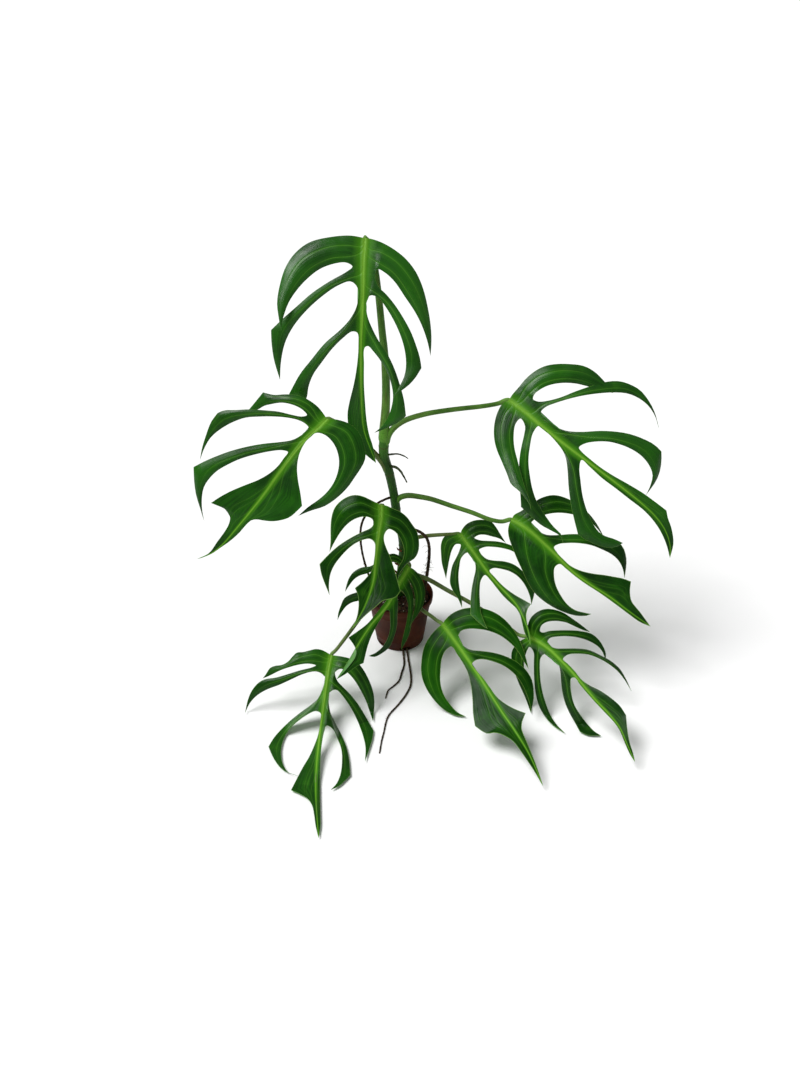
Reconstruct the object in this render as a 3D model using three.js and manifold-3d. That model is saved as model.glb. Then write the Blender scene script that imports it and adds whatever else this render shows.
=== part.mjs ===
// Potted Burle Marx Flame monstera: a young climbing plant with ten deeply cut
// leaves on long stalks, aerial roots and a plastic nursery pot filled with bark mix.
// Millimetres, +Z up. The origin is the centre of the pot's underside.

import * as THREE from 'three';
import { mergeVertices } from 'three/addons/utils/BufferGeometryUtils.js';
import Module from 'manifold-3d';

const wasm = await Module();
wasm.setup();

// The drawing plane
// Leaves, stalks, stem and roots are drawn as the plant is seen from its front, from an
// eye raised above the horizon. x runs right and y runs down in squares of SQUARE, and
// near is the distance in millimetres from the plane through the soil towards the eye.
const SQUARE = 2;
const DRAWING_CENTRE = { x: 400, y: 532.5 };
const EYE_ELEVATION = THREE.MathUtils.degToRad(35);
const EYE_DISTANCE = 2500;
const SOIL_TOP = 105;
const DRAWING_LIFT = 126;

// Pot and soil
const POT_RIM_RADIUS = 66;
const POT_BASE_RADIUS = 48;
const POT_HEIGHT = 112;
const POT_WALL = 1.6;
const POT_FLOOR = 2.2;
const FOOT_BEVEL = 2;
const RIM_DEPTH = 12;
const RIM_OVERHANG = 4.1;
const RIM_WIDTH = 3.2;
const RIM_TAPER = 0.8;
const RIM_BEVEL = 1;
const POT_SEGMENTS = 36;
const SLOT_COUNT = 6;
const SLOT_WIDTH = 22;
const SLOT_HEIGHT = 8;
const SLOT_LENGTH = 16;
const SLOT_SINK = 0.2;
const FIRST_SLOT_ANGLE = THREE.MathUtils.degToRad(-78);
const SOIL_BEVEL = 3;
const SOIL_CLEARANCE = 1;
const SOIL_EDGE_SLOPE = 0.08;
// The heaped top: shares of the radius, and heights from SOIL_TOP
const SOIL_HEAP = [[0.85, -1], [0.5, 2], [0, 3]];

// Blades
const BLADE_THICKNESS = 1;
const LOBE_ROWS = 7;
const ROW_EASE = 1.3;
const LOBE_COLUMNS = 2;
const TERMINAL_ROWS = 9;
const RIB_STATIONS = 8;
const STATION_CLEARANCE = 0.4;
const FOOT_SPACING = 0.03;
const RIB_PROUD = 1.1;
const RIB_END = 0.9;
const RIB_END_RADIUS = 0.8;
const RIB_TAPER_POWER = 0.7;
const WING_RISE = 6;
const WING_REACH = 22;
const LOBE_SLOPE = 0.1;
const LOBE_DROOP = 0.16;
const LOBE_CUP = 0.14;
const CUP_ONSET = 3;
const FLOOR_CLEARANCE = 6;

// Stem, stalks and roots
const GAP = 0.35;
const STEM_SIDES = 9;
const STEM_RINGS = 16;
const STALK_SIDES = 6;
const ROOT_SIDES = 6;
const STALK_RINGS = 10;
const RIB_RINGS = 7;
const ROOT_RINGS = { free: 7, buried: 16, trailing: 18 };
const SHEATH_FLARE = 1.45;
const SHEATH_SHARE = 0.125;
const STALK_TUCK = 0.8;

const FINISHES = {
  blade: { color: 0x1f5a16, roughness: 0.4 },
  stem: { color: 0x33561f, roughness: 0.5 },
  root: { color: 0x3a2a1a, roughness: 0.8 },
  pot: { color: 0x4a2a1e, roughness: 0.55 },
  soil: { color: 0x241712, roughness: 0.95 },
};

// Each leaf: its stalk from the stem to the blade, the stalk's radii, the rib from the
// blade's base to its tip, and the two margins, walked from the base to the tip. A tip is
// a lobe's point, a gap is the inmost point of the cut between two lobes, a corner is a
// sharp turn and a bend a rounder one. A tip's third number brings that lobe nearer, in
// millimetres.
const LEAVES = {
  leaf_a: {
    stalk: `384,446,184 384.5,425,195 386,400,207 385,360,235 382,330,258 378,290,288
      374,262,308 369,246,320`,
    radii: [7.4, 4.6],
    rib: `365,238,330 363.5,262,336 363,290,338 362,320,336 361,345,332 361,375,322
      361.5,400,308 364,430,292 376,463,276`,
    left: `350,235.5 330,237 310,242 296,252 286,266 280,284 277,303 279,320 tip 281,331,18
      284,315 289,302 297,290 307,279 320,269 335,263.5 346,262.5 gap 352.5,266.5
      346,272 330,281 312,293 296,307 284,317.5 corner 271,330 271.5,343 274,360
      tip 280,380 281,362 285,343 293,327 305,312 320,298 338,285.5 351,281.5
      gap 358,289 357,305 350,319 340,330 325,343 311,360 300,374 corner 289,394
      tip 303,405 307,397 308.5,387 313,375 322,362 332,349 343,338 352,331.5
      gap 357.5,333 358.5,345 357.5,362 354,384 349.5,402 347.5,414 349,428 355,441
      364,453 tip 376,463`,
    right: `372,239 383,243 395,250 406,259 416,272 423,288 428,308 431,328 431.5,342
      tip 430.5,356 427.5,342 422,326 415,312 405,297 394,281 384,272 377.5,269
      gap 375,275 378,286 386,294 395,305 404,319 411,332 416,345 420,358
      corner 421.5,368 416,377 409,385 401,391 tip 393,398,14 399,387 404,377 406,366
      405,352 401,337 394,321 385,306 378,297.5 370,295.5 gap 366.5,303 367.5,316
      373,330 380,343 388,355 395,370 400,385 404,400 corner 406,416 399,422 388,427.5
      tip 374,433 382,426 388,417 391.5,407 393,396 391,383 387,372 380,360 373,351
      368,346 gap 364.5,348 364,365 364,385 365,402 366.5,420 369,434 373,447
      tip 376,463`,
  },
  leaf_b: {
    stalk: `389,474,140 384,465,156 377,456,166 368,447,182 358,439,215 346,430,262
      336,423,305 331,420,325`,
    radii: [4.8, 4],
    rib: `327,419,334 318,428,338 308,437,341 298,448,342 288,461,343 277,476,342
      265,493,339 250,512,334 236,529,328 222,545,322 210,554,317 197,559,312`,
    left: `323,413 317,406 307,399 296,395 285,394.3 274,394.8 corner 263,392.3 256,401
      tip 246,413,-14 259,409 264,406 272,404 281,402.7 290,404 299,407.5 304.5,411.5
      gap 307,415 302,416.5 292,414.8 278,411.5 265,410.3 250,409.3 235,410 224,410.3
      corner 217.5,413 211,422 206,435 202,448 tip 200,460 204,449 210,438.5 216,432.5
      223,427.5 232,422.5 245,417.8 258,416.7 272,416.5 286,417.5 298,420 305,423.5
      gap 308.5,427.5 306,431 300,436 292,440 280,442 265,443.5 250,446 232,450.5
      218,455.5 205,461 corner 193.5,467 194,480 196,495 200,508 tip 204,521 202,508
      202,497 204,487 209,479 217,471 228,464.5 240,459 255,454.5 270,451.3 282,450.2
      gap 288,452 284,458 278,466 270,473 258,480 244,485.5 230,491.5 219,497.5
      corner 211,503 219,504.5 226,510 bend 230,516 229,523.5 225,531 217,542 209,553
      tip 197,559`,
    right: `333,419 341,420.5 350,424 358,431 363,441 365.5,452 365,460 361,468 355,477
      348,487 338,497 325,506 310,511 tip 298,516 308,507 318,500 327,492 334,482
      338,471 339,460 336,448 330,439 323,434 316,433 gap 309,438 303,446 299,455
      297,468 298,480 300.5,494 corner 302,506 297,511 290,517 282,520 272,521.3
      262,520.3 256,519.3 251,520.5 245,526 239,533 230,541 220,548 211,554
      tip 197,559`,
  },
  leaf_c: {
    stalk: `385,446,184 387.5,437,190 392,430,194 398,424.5,197 407,419.5,198 424,414.3,196
      441,411.2,191 460,408.7,184 484,406,175 498,403.5,169`,
    radii: [5, 4],
    rib: `509,400,168 520,408,176 530,416,183 542,426.5,190 555,437,196 568,447,201
      582,457.5,205 600,471,208 620,486,209 640,502,206 655,516,202 665,530,197
      670,545,191 670,558,186`,
    left: `512,395 518,388 526,378.5 535,371 545,366 556,364 570,364 584,366 595,372
      605,382 tip 613,393,34 602,390.5 588,386.5 575,383.5 562,383 550,385 541,389
      534.5,394 gap 533,399 538,401.5 546,401 560,397.5 575,391.5 590,386.3 605,382
      618,381 628,383.5 640,390 649,401 655,413 tip 659,428 655,416 648,405.5
      638,397.8 627,393.5 615,392.5 600,393.3 585,395.3 570,398.5 555,403 546,406.8
      gap 541,412 545,420 556,427 568,431 582,431.8 600,430.8 615,431.5 630,434
      645,439.5 655,445 corner 661.5,451.5 661.5,462 659.5,473 655,483 tip 646,495
      650.5,485 652.5,475 649.5,466 642,456.5 632,449.5 620,444.5 608,441.7 595,441.7
      585,443.5 gap 579,447.5 583,453 590,459 600,467 613,475.5 628,484 643,493
      656,502.5 corner 666.5,510.5 668,518 671.5,528 673.5,543 tip 670,558`,
    right: `503,403 498,411 494.5,423 494,437 496.5,449 501.5,461 507,474 511,484
      519,491 526,499 tip 531,510 528.5,497 524.5,486 521,474 517.5,460 514.5,448
      513.7,436 515.5,424 gap 520.5,418.5 525,426 524,435 521.5,446 519.5,458 519,470
      519.5,485 520.5,497 corner 521,507 531,516.5 541,525 552,531 559,535
      tip 563,543,32 561,534 553,526 545,515 538,504 533,491 530,476 528.5,461 530,446
      533,433 gap 538.5,426 545,430.5 552,437 560,446.5 565.5,457 567.5,470 568.5,486
      570.5,502 573.5,517 corner 578,534.5 587,540.5 600,546 612,548 tip 623,543,26
      613,538.5 604,535.5 598,531 591,520 586,508 582.5,495 580.5,480 579.5,468
      gap 581.5,460 590,467 602,478 616,488.5 630,499.5 643,509.5 653,520 661,532
      667,546 tip 670,558`,
  },
  leaf_d: {
    stalk: `394.5,509,106 396,502,114 400,497.5,121 408,495.5,126 420,496.8,129
      431,499,131 452,506,133 472,512.5,134 490,519.5,133 502,521.5,130`,
    radii: [5, 3.7],
    rib: `511.5,519.5,130 520,524,137 530,531,144 543,542.5,151 557,556,157 573,572,161
      591,585,162 610,597,160 630,612,156 650.5,626.5,151`,
    left: `514,515 521,511 531,504 541,498 553,495 565,497.5 577,504 588,512.5 597,524
      tip 605,539,-10 595,526 585,518 573,514.5 560,512.8 548,514 538,517.5
      gap 531.5,522.5 534,527.5 540,532 547,534.8 558,535 571,534 585,534.5 600,537
      613,540 620,543.5 624,549 626.5,559 626,569 tip 624.5,578 622.5,568 618,560
      611,554 602,549.5 592,545.5 580,543.3 568,543 559,544 gap 554,547 557,552.5
      563,559 570,565.5 580,570.5 592,573.5 604,575 614,576.8 623,578.5
      corner 631,581.5 630,591 631.5,601 640,612 tip 650.5,626.5`,
    right: `509.5,523 508,530 509,538 513,549 517,559 522,570 527,581 533,591 541,599
      551,606 562,611.5 575,615.5 585,616 tip 591.5,614,10 584,612.5 575,610 567,604
      560,594 555.5,584 554,574 555,567 gap 560,564 566,568.5 575,576 586,584 600,593
      614,603 628,613.5 640,622 tip 650.5,626.5`,
  },
  leaf_e: {
    stalk: `399,527,88 396,523,105 391,516,128 386,510,143`,
    radii: [4.6, 4],
    rib: `381,505,154 381,518,162 379,532,169 377,548,176 375.5,563,183 374,578,190
      370,593,197 364,608,203 358,619,207 352,629,210`,
    left: `376,502.5 370,499.5 362,496 354,495 347,497 340,501.5 334.5,508 331.5,517
      330.5,528 330.5,541 tip 329.5,552 334,543 340,533 346,525.5 353,520 361,517
      368,517 372.5,519.5 gap 373.5,524 370.5,528 363,531.5 353,536.5 343,542.5
      335,548.5 327,556 corner 319.5,564 321,573 324.5,583 tip 329.5,595 329,585
      330.5,574 334.5,565 340.5,557 348,549 356,543 364,539.5 370,538.8
      gap 374.5,542.5 375,551 374,560 372,570 366,578 360,584 corner 355,588 358,595.5
      358.7,603 358,612 356,620 tip 352,629`,
    right: `386,505.5 393,508.5 400,511.5 407,517 412,524 417,531.5 419,540 418.5,551
      415,558 408,563 402,570 398.5,577 tip 399,587,10 396,577 398.5,567 403,559
      404,552 403,545 399.5,537 394,531 388.5,529 gap 384.5,534 384,540 386,547
      389.5,555 393,565 396,575 398.5,584 corner 400.5,591 396,597 390,599 383,600.5
      376,606.5 368,613 360,620.5 tip 352,629`,
  },
  leaf_f: {
    stalk: `403.5,545,66 406,541,74 411,538.5,82 419,537,88 430,535.5,92 442,534.7,94
      452,534.2,93`,
    radii: [4, 3.2],
    rib: `460,534,92 470,547.5,101 479,560,108 488,572.5,115 498,584.5,122 508,595,130
      517,605.5,138 523.5,618,148 528,631,158 530.5,645,168`,
    left: `462,529.5 466,524.5 473,520.8 482,519.7 491,521.5 496,527 500,533.5
      tip 506,543 499,538.5 492,536.5 485,534.8 479,535 gap 474.5,537.8 480,540.2
      488,540.8 498,541.5 508,544 518,549 526,557 tip 531,567 523,560 513,551.5
      503,548.3 494,547 485,547 gap 479,550 482,555 487,559 494,560.5 504,561.3
      514,564.5 522,570.5 529,579 534.5,590 tip 531.5,605 530,597 526,587 519,577.5
      510,571.5 500,568.7 494,568 gap 489.5,570.5 495,577.5 501,584 508,590 516,595.5
      524,600 corner 531,604 527.5,609 526,615 527,624 529.5,634 tip 530.5,645`,
    right: `456,533.2 450,533.8 444,537 441,544 441,554 442,564 444.5,573 tip 446,579
      447.5,570 449.5,559 452,550 455.5,544.5 gap 460.5,544.5 459.5,550 456.5,557
      452.5,565 450.5,574 450,583 453,591 457,597 tip 462,608 461.5,598 459.5,588
      458.5,577 459.5,566 461.5,557.5 gap 467.5,552.5 472.5,557 475,563 475.5,570
      473.5,579 471.5,590 470.5,602 corner 470.5,614.5 477,621 483,626 tip 487.5,628.5
      484,621 481,613 480,602 479.7,590 481,580 gap 485,575 490,579.5 496,587
      502,594.5 509,601.5 516,608 520,614.5 522,622 524.5,632 tip 530.5,645`,
  },
  leaf_g: {
    stalk: `401,588,10 405,592,36 410,597,58 416,604,76 423,610.5,92 431,616,106
      437,620.5,116`,
    radii: [3.8, 3.3],
    rib: `442.5,624,122 452,637,137 463,652.5,154 475,670,174 488,690,198 502,712,222
      515,731,244 529,754,270 543,786,300`,
    left: `445,620 452,613.5 462,609 473,607.5 486,609 499,615 510,625 518,637 523,648
      526,658 tip 528.5,669,62 523,660 517,650 509,642 500,635.5 489,631 478,629
      467,629 461,631 gap 458.5,635.5 460,641.5 464.5,646.5 471,649.8 482,651 493,652.5
      505,656 517,662 526,670 532,680 534,694 tip 531,712,38 528,698 522.5,685
      515,674.5 505,666.5 494,661.5 483,659 476,660 gap 472,664 476.5,670.5 483,678
      490,687.5 497,697 505,703.5 515,709 corner 525.5,713 522,722 521.5,729 525,738
      530,750 536,765 tip 543,786`,
    right: `438.5,627 431,635 424.5,646 421.5,660 421.5,675 426,688 434,700 443,709
      453,714.5 tip 466,716.5,24 456,711 449,703 443.5,694 440.5,683 440.5,670 442,658
      445.5,650.5 gap 451.5,646.5 457,654 462.5,662.5 467.5,672 471,686 472.5,700
      473,713 corner 475,726 481,730.5 487,733.5 494,732.5 501,734 508,737.5 514,742
      520,750 527,760 535,772 tip 543,786`,
  },
  leaf_h: {
    stalk: `401.5,573,33 406,572.5,44 411,573,52 418,575.5,62 428.5,579.5,74 447,590,92
      469,602,106 485,611.5,114 500,620,120 511,629,126 519,635,130`,
    radii: [4.4, 3.1],
    rib: `528.5,637,138 538,641.5,146 549,649,156 561,660.5,168 572,672,180 583,685,194
      596,700.5,210 609,714,224 620,728,238 627,744,252 635,762,266`,
    left: `527.5,632 528,624.5 531,617.5 537,612 545,609 554,609.5 563,612.5 573,619
      582,625.5 tip 590,632,-8 583,630 575,626.5 566,622.5 556,621 547,622 541.5,625.5
      gap 540,631 543,632.5 549,631 559,630.3 571,630.3 582,631.3 592,634 599,640
      604,648 606,654 tip 605.5,660 602.5,652 598,646.5 590,641.5 580,638 569,636.3
      558,636.5 550,638 gap 547.5,642 550.5,646 556,648.3 565,648.5 577,648.5 589,650
      600,655 611,661 620,669 626,679 tip 631.5,691 624,679 617,670.5 608,663.5
      598,658 588,654.5 577,653.5 568,654.5 gap 563,659 568,664 575,671.5 582,680
      590,685.5 600,690.5 611,698 620,706 corner 626,715 627.5,731 629.5,742 633,753
      tip 635,762`,
    right: `523.5,639 517,643.5 512,651 511.5,661 514.5,672 519,684 524.5,696
      tip 531,713,-12 530.5,700 527.5,688 525,676 524,664 525.5,655 gap 529.5,647
      533.5,652 533.8,663 534,678 535.5,693 539,706 545,716.5 553,725 tip 565,733
      557,725 551,716 546.5,705 542.5,692 540.3,678 539.7,665 540.5,658 gap 544.5,654
      551,656 557,661.5 560,669.5 561,681 562.5,693 565.5,704 570,714 574,721
      corner 580,731.5 588,735 tip 601,735.5 594,731 587,723.5 580,714.5 574.5,705
      571.3,694 570.3,685 571,678.5 gap 574.5,677.5 580,684.5 588,694 597,704
      606,713.5 614,722 620,731 625,743 630,754 tip 635,762`,
  },
  leaf_i: {
    stalk: `399,587,8 391,590,34 382,594,56 372,601,76 362,615,98 352,629,116
      343,641,128 336,650,135`,
    radii: [4, 3.1],
    rib: `331,655,138 328.5,668,148 326.5,682,160 324.5,697,174 322.5,712,189
      320.5,727,205 319,742,222 317,760,246 315.8,778,272 315.8,795,298 316.8,814,328
      318.5,838,368`,
    left: `327,652.5 322,650 316,649 309,650.5 303,652 297,652.5 293,656 288,661.5
      282,664.8 275,665.8 270,668 266,674 tip 262.5,678.5,14 270,675.5 280,670.5
      290,667 300,664.5 309,663.7 gap 316,665.3 312,667.3 300,670.3 288,674
      276,677.5 264,679.5 257,684 251,692 247.5,701 tip 245,713 250,703 257,695.5
      267,689.5 279,685 291,679.5 302,674.5 312,671.7 319,672 gap 325,676.5 324,684
      321,693 317,699.5 310,705.5 301,712 291,720 282,728.5 274,737.5 corner 268.5,746.5
      272,755 bend 277,763.5 284,770.5 tip 298,776 288,772 bend 283,764.5 281,755
      281.5,746
      285,736 291,727 299,720 307,714.5 315,711 gap 320.5,713 320,724 318,735 314,746
      309,757 303,767 corner 291,790 299,793.5 307,798 312,805 314,814 315.5,825
      tip 318.5,838`,
    right: `335,655.5 342,656.5 350,658.5 357,662 363,669 369,680 373,691 374.5,702
      tip 373,721 369.5,711 366,701 361,691 355,681 348,673 341,668.7 gap 335.3,672
      337,680 342,686 350,694 358,704 366,717 corner 373.5,730.5 372.5,738 369.5,748
      tip 365,761.5 365.5,747 363,735.5 358,722 351,708 343,696 336,689.5
      gap 329.5,692.5 328.7,702 330.5,712.5 335,722 341,734 346,746 349,759
      corner 350.3,775 345,780.5 339,786 tip 331,789.5 336.5,783.5 340.5,774 342,762
      341.5,750 338,739 333.5,729.5 gap 326.5,725.5 324,732 322,742 320.5,757 320,775
      320,795 320.3,812 320.5,825 tip 318.5,838`,
  },
  leaf_j: {
    stalk: `402,566,44 405,564,60 408,563.5,76 409.5,564.5,88`,
    radii: [3.8, 3.2],
    rib: `409.5,567,97 404,576,104 399.5,584,109 394,594,115 388,605,122 380,615,130
      372,624,138 363,637,149 355,650,160 347,664,174 337,679,190`,
    left: `406,561.5 400,556 393,553.5 385,556 377,562 370,566.3 362,567.3 354,571.5
      349,578 346.5,585 tip 345,592,16 350,584.5 354,579.5 360,575.5 367,573.5
      376,569.5 385,564.5 393,562 399,564 gap 403,570.5 399,576 391,579 380,584
      368,589 356,592.5 349,595 344,598.5 341,605 338.5,612 tip 337.5,620,14
      341.5,612.5 346,606.5 352,602.5 358,601 368,599 380,594 388,590.5 gap 393,589.5
      388,598 382,606 375,615 367,624 358,631 corner 348.5,637.5 353,643.5 356.5,650
      355.5,657 350,665 344,672 tip 337,679`,
    right: `414,569.5 420,576 424,585 425,595 423,605 418,614.5 413,621 tip 409.5,628,28
      413,615 415,604 414.5,594 411.5,585 gap 407.5,578.5 410,584 412.5,591.5
      413.5,601 413,612 411.5,624 408.5,636 tip 401,650,12 402,641 404.5,631 407,619
      408.3,608 406.5,598 402.5,591 gap 398.5,589.5 397.5,595 398,603 397.5,614
      397,625 394,637 389,647.5 381,654 374,657 tip 368.5,656 376,652.5 382,647.5
      387,640 390,630 390.3,618 389.5,610.5 gap 386.5,610 382,617 376,627 371,637
      367.5,647 365,657 corner 363.5,663 357,666 350,671 343,675.5 tip 337,679`,
  },
};

// The stem from above its top node down to the soil, with its radius at each point
const STEM_PATH = `384,432,194 384,440,187 384,455,165 389,472,145 393,490,126 395.5,505,110
  397.5,520,95 402,535,76 403.5,548,62 402.5,562,45 401,578,23 400,592,3`;
const STEM_RADII = [7.6, 9.4, 9.2, 8.8, 8.4, 8.8, 8.4, 8.6, 9, 9.2, 9.6, 10];
const STEM_FOOT = 60;
const STEM_FOOT_RADIUS = 9;

// Roots in the air, and where they go into the soil; radii from the stem to the end
const AERIAL_ROOTS = {
  root_air_upper: {
    path: '386,455,165 392,454.3,170 398,454,174 404,456,178 408,458.5,181',
    radii: [1.6, 0.8],
  },
  root_air_middle: {
    path: '389,466.5,152 395,467,160 400,470.5,166 403.5,476,170 407,482.5,173',
    radii: [2.4, 1],
  },
  root_air_left: {
    path: `392,497,119 386,499,127 378,503,131 370,510,130 364,518,125 361,527,117
      360.5,537,107 361.5,548,93 364,560,76 368,573,50 372,586,18 373,592,3`,
    radii: [2.4, 2],
    soilDepth: 30,
  },
  root_air_right: {
    path: `402,532,80 408,529.5,94 414,529.5,104 420,532,108 425.5,536.5,104 428.5,543,92
      429.3,552,75 428.5,563,55 427,575,33 425,588,8`,
    radii: [3, 2.4],
    soilDepth: 30,
  },
};

// Roots that leave the pot by a drain slot and lie along the surface; x and y as drawn
const TRAILING_ROOTS = {
  root_trailing_short: {
    start: [6, -38],
    path: '403.5,652 404.7,657 404,664 401.5,673 399,680.5 393.5,686 388.5,690 385.5,698',
    radii: [2, 1.2],
  },
  root_trailing_long: {
    start: [14, -37],
    path: `408,652 409,660 410.3,670 411,677 410.5,685 407.5,692 402,700 396,707 390,713.5
      386.5,720 384,731 381.5,741 379.5,753`,
    radii: [2.1, 1.2],
  },
};
const ROOT_REST = 0.3;
const SLOT_ROOT_HEIGHT = 5;
const SLOT_ROOT_RISE = 6;
const SLOT_ROOT_SHARE = 0.2;

const eyeRight = new THREE.Vector3(1, 0, 0);
const eyeUp = new THREE.Vector3(0, Math.sin(EYE_ELEVATION), Math.cos(EYE_ELEVATION));
const towardsEye = new THREE.Vector3(0, -Math.cos(EYE_ELEVATION), Math.sin(EYE_ELEVATION));
const drawingOrigin = new THREE.Vector3(0, 0, SOIL_TOP).addScaledVector(eyeUp, DRAWING_LIFT);

// A point of the drawing, put in space
function place(x, y, near) {
  const shrink = 1 - near / EYE_DISTANCE;
  return drawingOrigin.clone()
    .addScaledVector(eyeRight, (x - DRAWING_CENTRE.x) * SQUARE * shrink)
    .addScaledVector(eyeUp, (DRAWING_CENTRE.y - y) * SQUARE * shrink)
    .addScaledVector(towardsEye, near);
}

// The near value that puts a drawn point at a given height above the surface
function nearAtHeight(y, height) {
  const up = (DRAWING_CENTRE.y - y) * SQUARE;
  return (height - drawingOrigin.z - up * eyeUp.z) / (towardsEye.z - (up * eyeUp.z) / EYE_DISTANCE);
}

// Reads 'x,y x,y,near tip x,y' into points that carry their kind
function readPoints(text) {
  const points = [];
  let kind = 'edge';
  for (const word of text.trim().split(/\s+/)) {
    if (/^[a-z]+$/.test(word)) {
      kind = word;
      continue;
    }
    const [x, y, near = 0] = word.split(',').map(Number);
    points.push({ x, y, near, kind });
    kind = 'edge';
  }
  return points;
}

// A smooth curve through drawn points, broken at tips and corners, as many small steps;
// each control point remembers its step in the result
const STEPS_PER_SPAN = 8;
function smoothWalk(points) {
  const steps = [];
  let start = 0;
  while (start < points.length - 1) {
    let end = start + 1;
    while (end < points.length - 1 && !['tip', 'corner'].includes(points[end].kind)) {
      end += 1;
    }
    const run = points.slice(start, end + 1);
    const curve = new THREE.CatmullRomCurve3(
      run.map((p) => new THREE.Vector3(p.x, p.y, p.near)), false, 'centripetal');
    const spans = run.length - 1;
    run.forEach((point, index) => {
      point.step = steps.length + index * STEPS_PER_SPAN;
    });
    for (let i = 0; i < spans * STEPS_PER_SPAN; i += 1) {
      steps.push(curve.getPoint(i / (spans * STEPS_PER_SPAN)));
    }
    start = end;
  }
  const last = points[points.length - 1];
  last.step = steps.length;
  steps.push(new THREE.Vector3(last.x, last.y, last.near));
  return steps;
}

// The share of a lobe's length at each row: the rows stand closer where the cut is round
const easedShare = (row, rows) => (row / rows) ** ROW_EASE;

// Points on rows along a line of small steps, with each corner kept on a row
function resample(line, corners, rows) {
  const lengths = [0];
  for (let i = 1; i < line.length; i += 1) {
    lengths.push(lengths[i - 1] + line[i].distanceTo(line[i - 1]));
  }
  const total = lengths[lengths.length - 1];
  const marks = [[0, 0]];
  for (const corner of corners) {
    const before = marks[marks.length - 1][0];
    const row = Math.round(rows * (lengths[corner] / total) ** (1 / ROW_EASE));
    const last = rows - (corners.length - marks.length + 1);
    marks.push([Math.min(Math.max(row, before + 1), last), lengths[corner]]);
  }
  marks.push([rows, total]);
  const result = [];
  let step = 0;
  for (let mark = 1; mark < marks.length; mark += 1) {
    const [rowA, lengthA] = marks[mark - 1];
    const [rowB, lengthB] = marks[mark];
    const shareA = easedShare(rowA, rows);
    const shareB = easedShare(rowB, rows);
    for (let row = rowA; row < rowB; row += 1) {
      const part = (easedShare(row, rows) - shareA) / (shareB - shareA);
      const length = lengthA + (lengthB - lengthA) * part;
      while (step < line.length - 2 && lengths[step + 1] < length) {
        step += 1;
      }
      const span = lengths[step + 1] - lengths[step];
      result.push(line[step].clone().lerp(line[step + 1], (length - lengths[step]) / span));
    }
  }
  result.push(line[line.length - 1].clone());
  return result;
}

// Distance over the drawing, in millimetres
const flatDistance = (a, b) => Math.hypot(a.x - b.x, a.y - b.y) * SQUARE;

// The rib as a curve in its own length, from 0 at the blade's base to 1 at its tip
class Rib {
  constructor(text) {
    this.line = smoothWalk(readPoints(text));
    this.lengths = [0];
    for (let i = 1; i < this.line.length; i += 1) {
      this.lengths.push(this.lengths[i - 1] + flatDistance(this.line[i], this.line[i - 1]));
    }
    this.total = this.lengths[this.lengths.length - 1];
  }

  at(share) {
    const length = Math.min(Math.max(share, 0), 1) * this.total;
    let step = 0;
    while (step < this.line.length - 2 && this.lengths[step + 1] < length) {
      step += 1;
    }
    const span = this.lengths[step + 1] - this.lengths[step];
    return this.line[step].clone().lerp(this.line[step + 1], (length - this.lengths[step]) / span);
  }

  nearest(point) {
    let best = 0;
    let bestDistance = Infinity;
    this.line.forEach((step, index) => {
      const distance = flatDistance(step, point);
      if (distance < bestDistance) {
        bestDistance = distance;
        best = index;
      }
    });
    return this.lengths[best] / this.total;
  }
}

const wingRise = (distance) => WING_RISE * (1 - Math.exp(-distance / WING_REACH));

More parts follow.
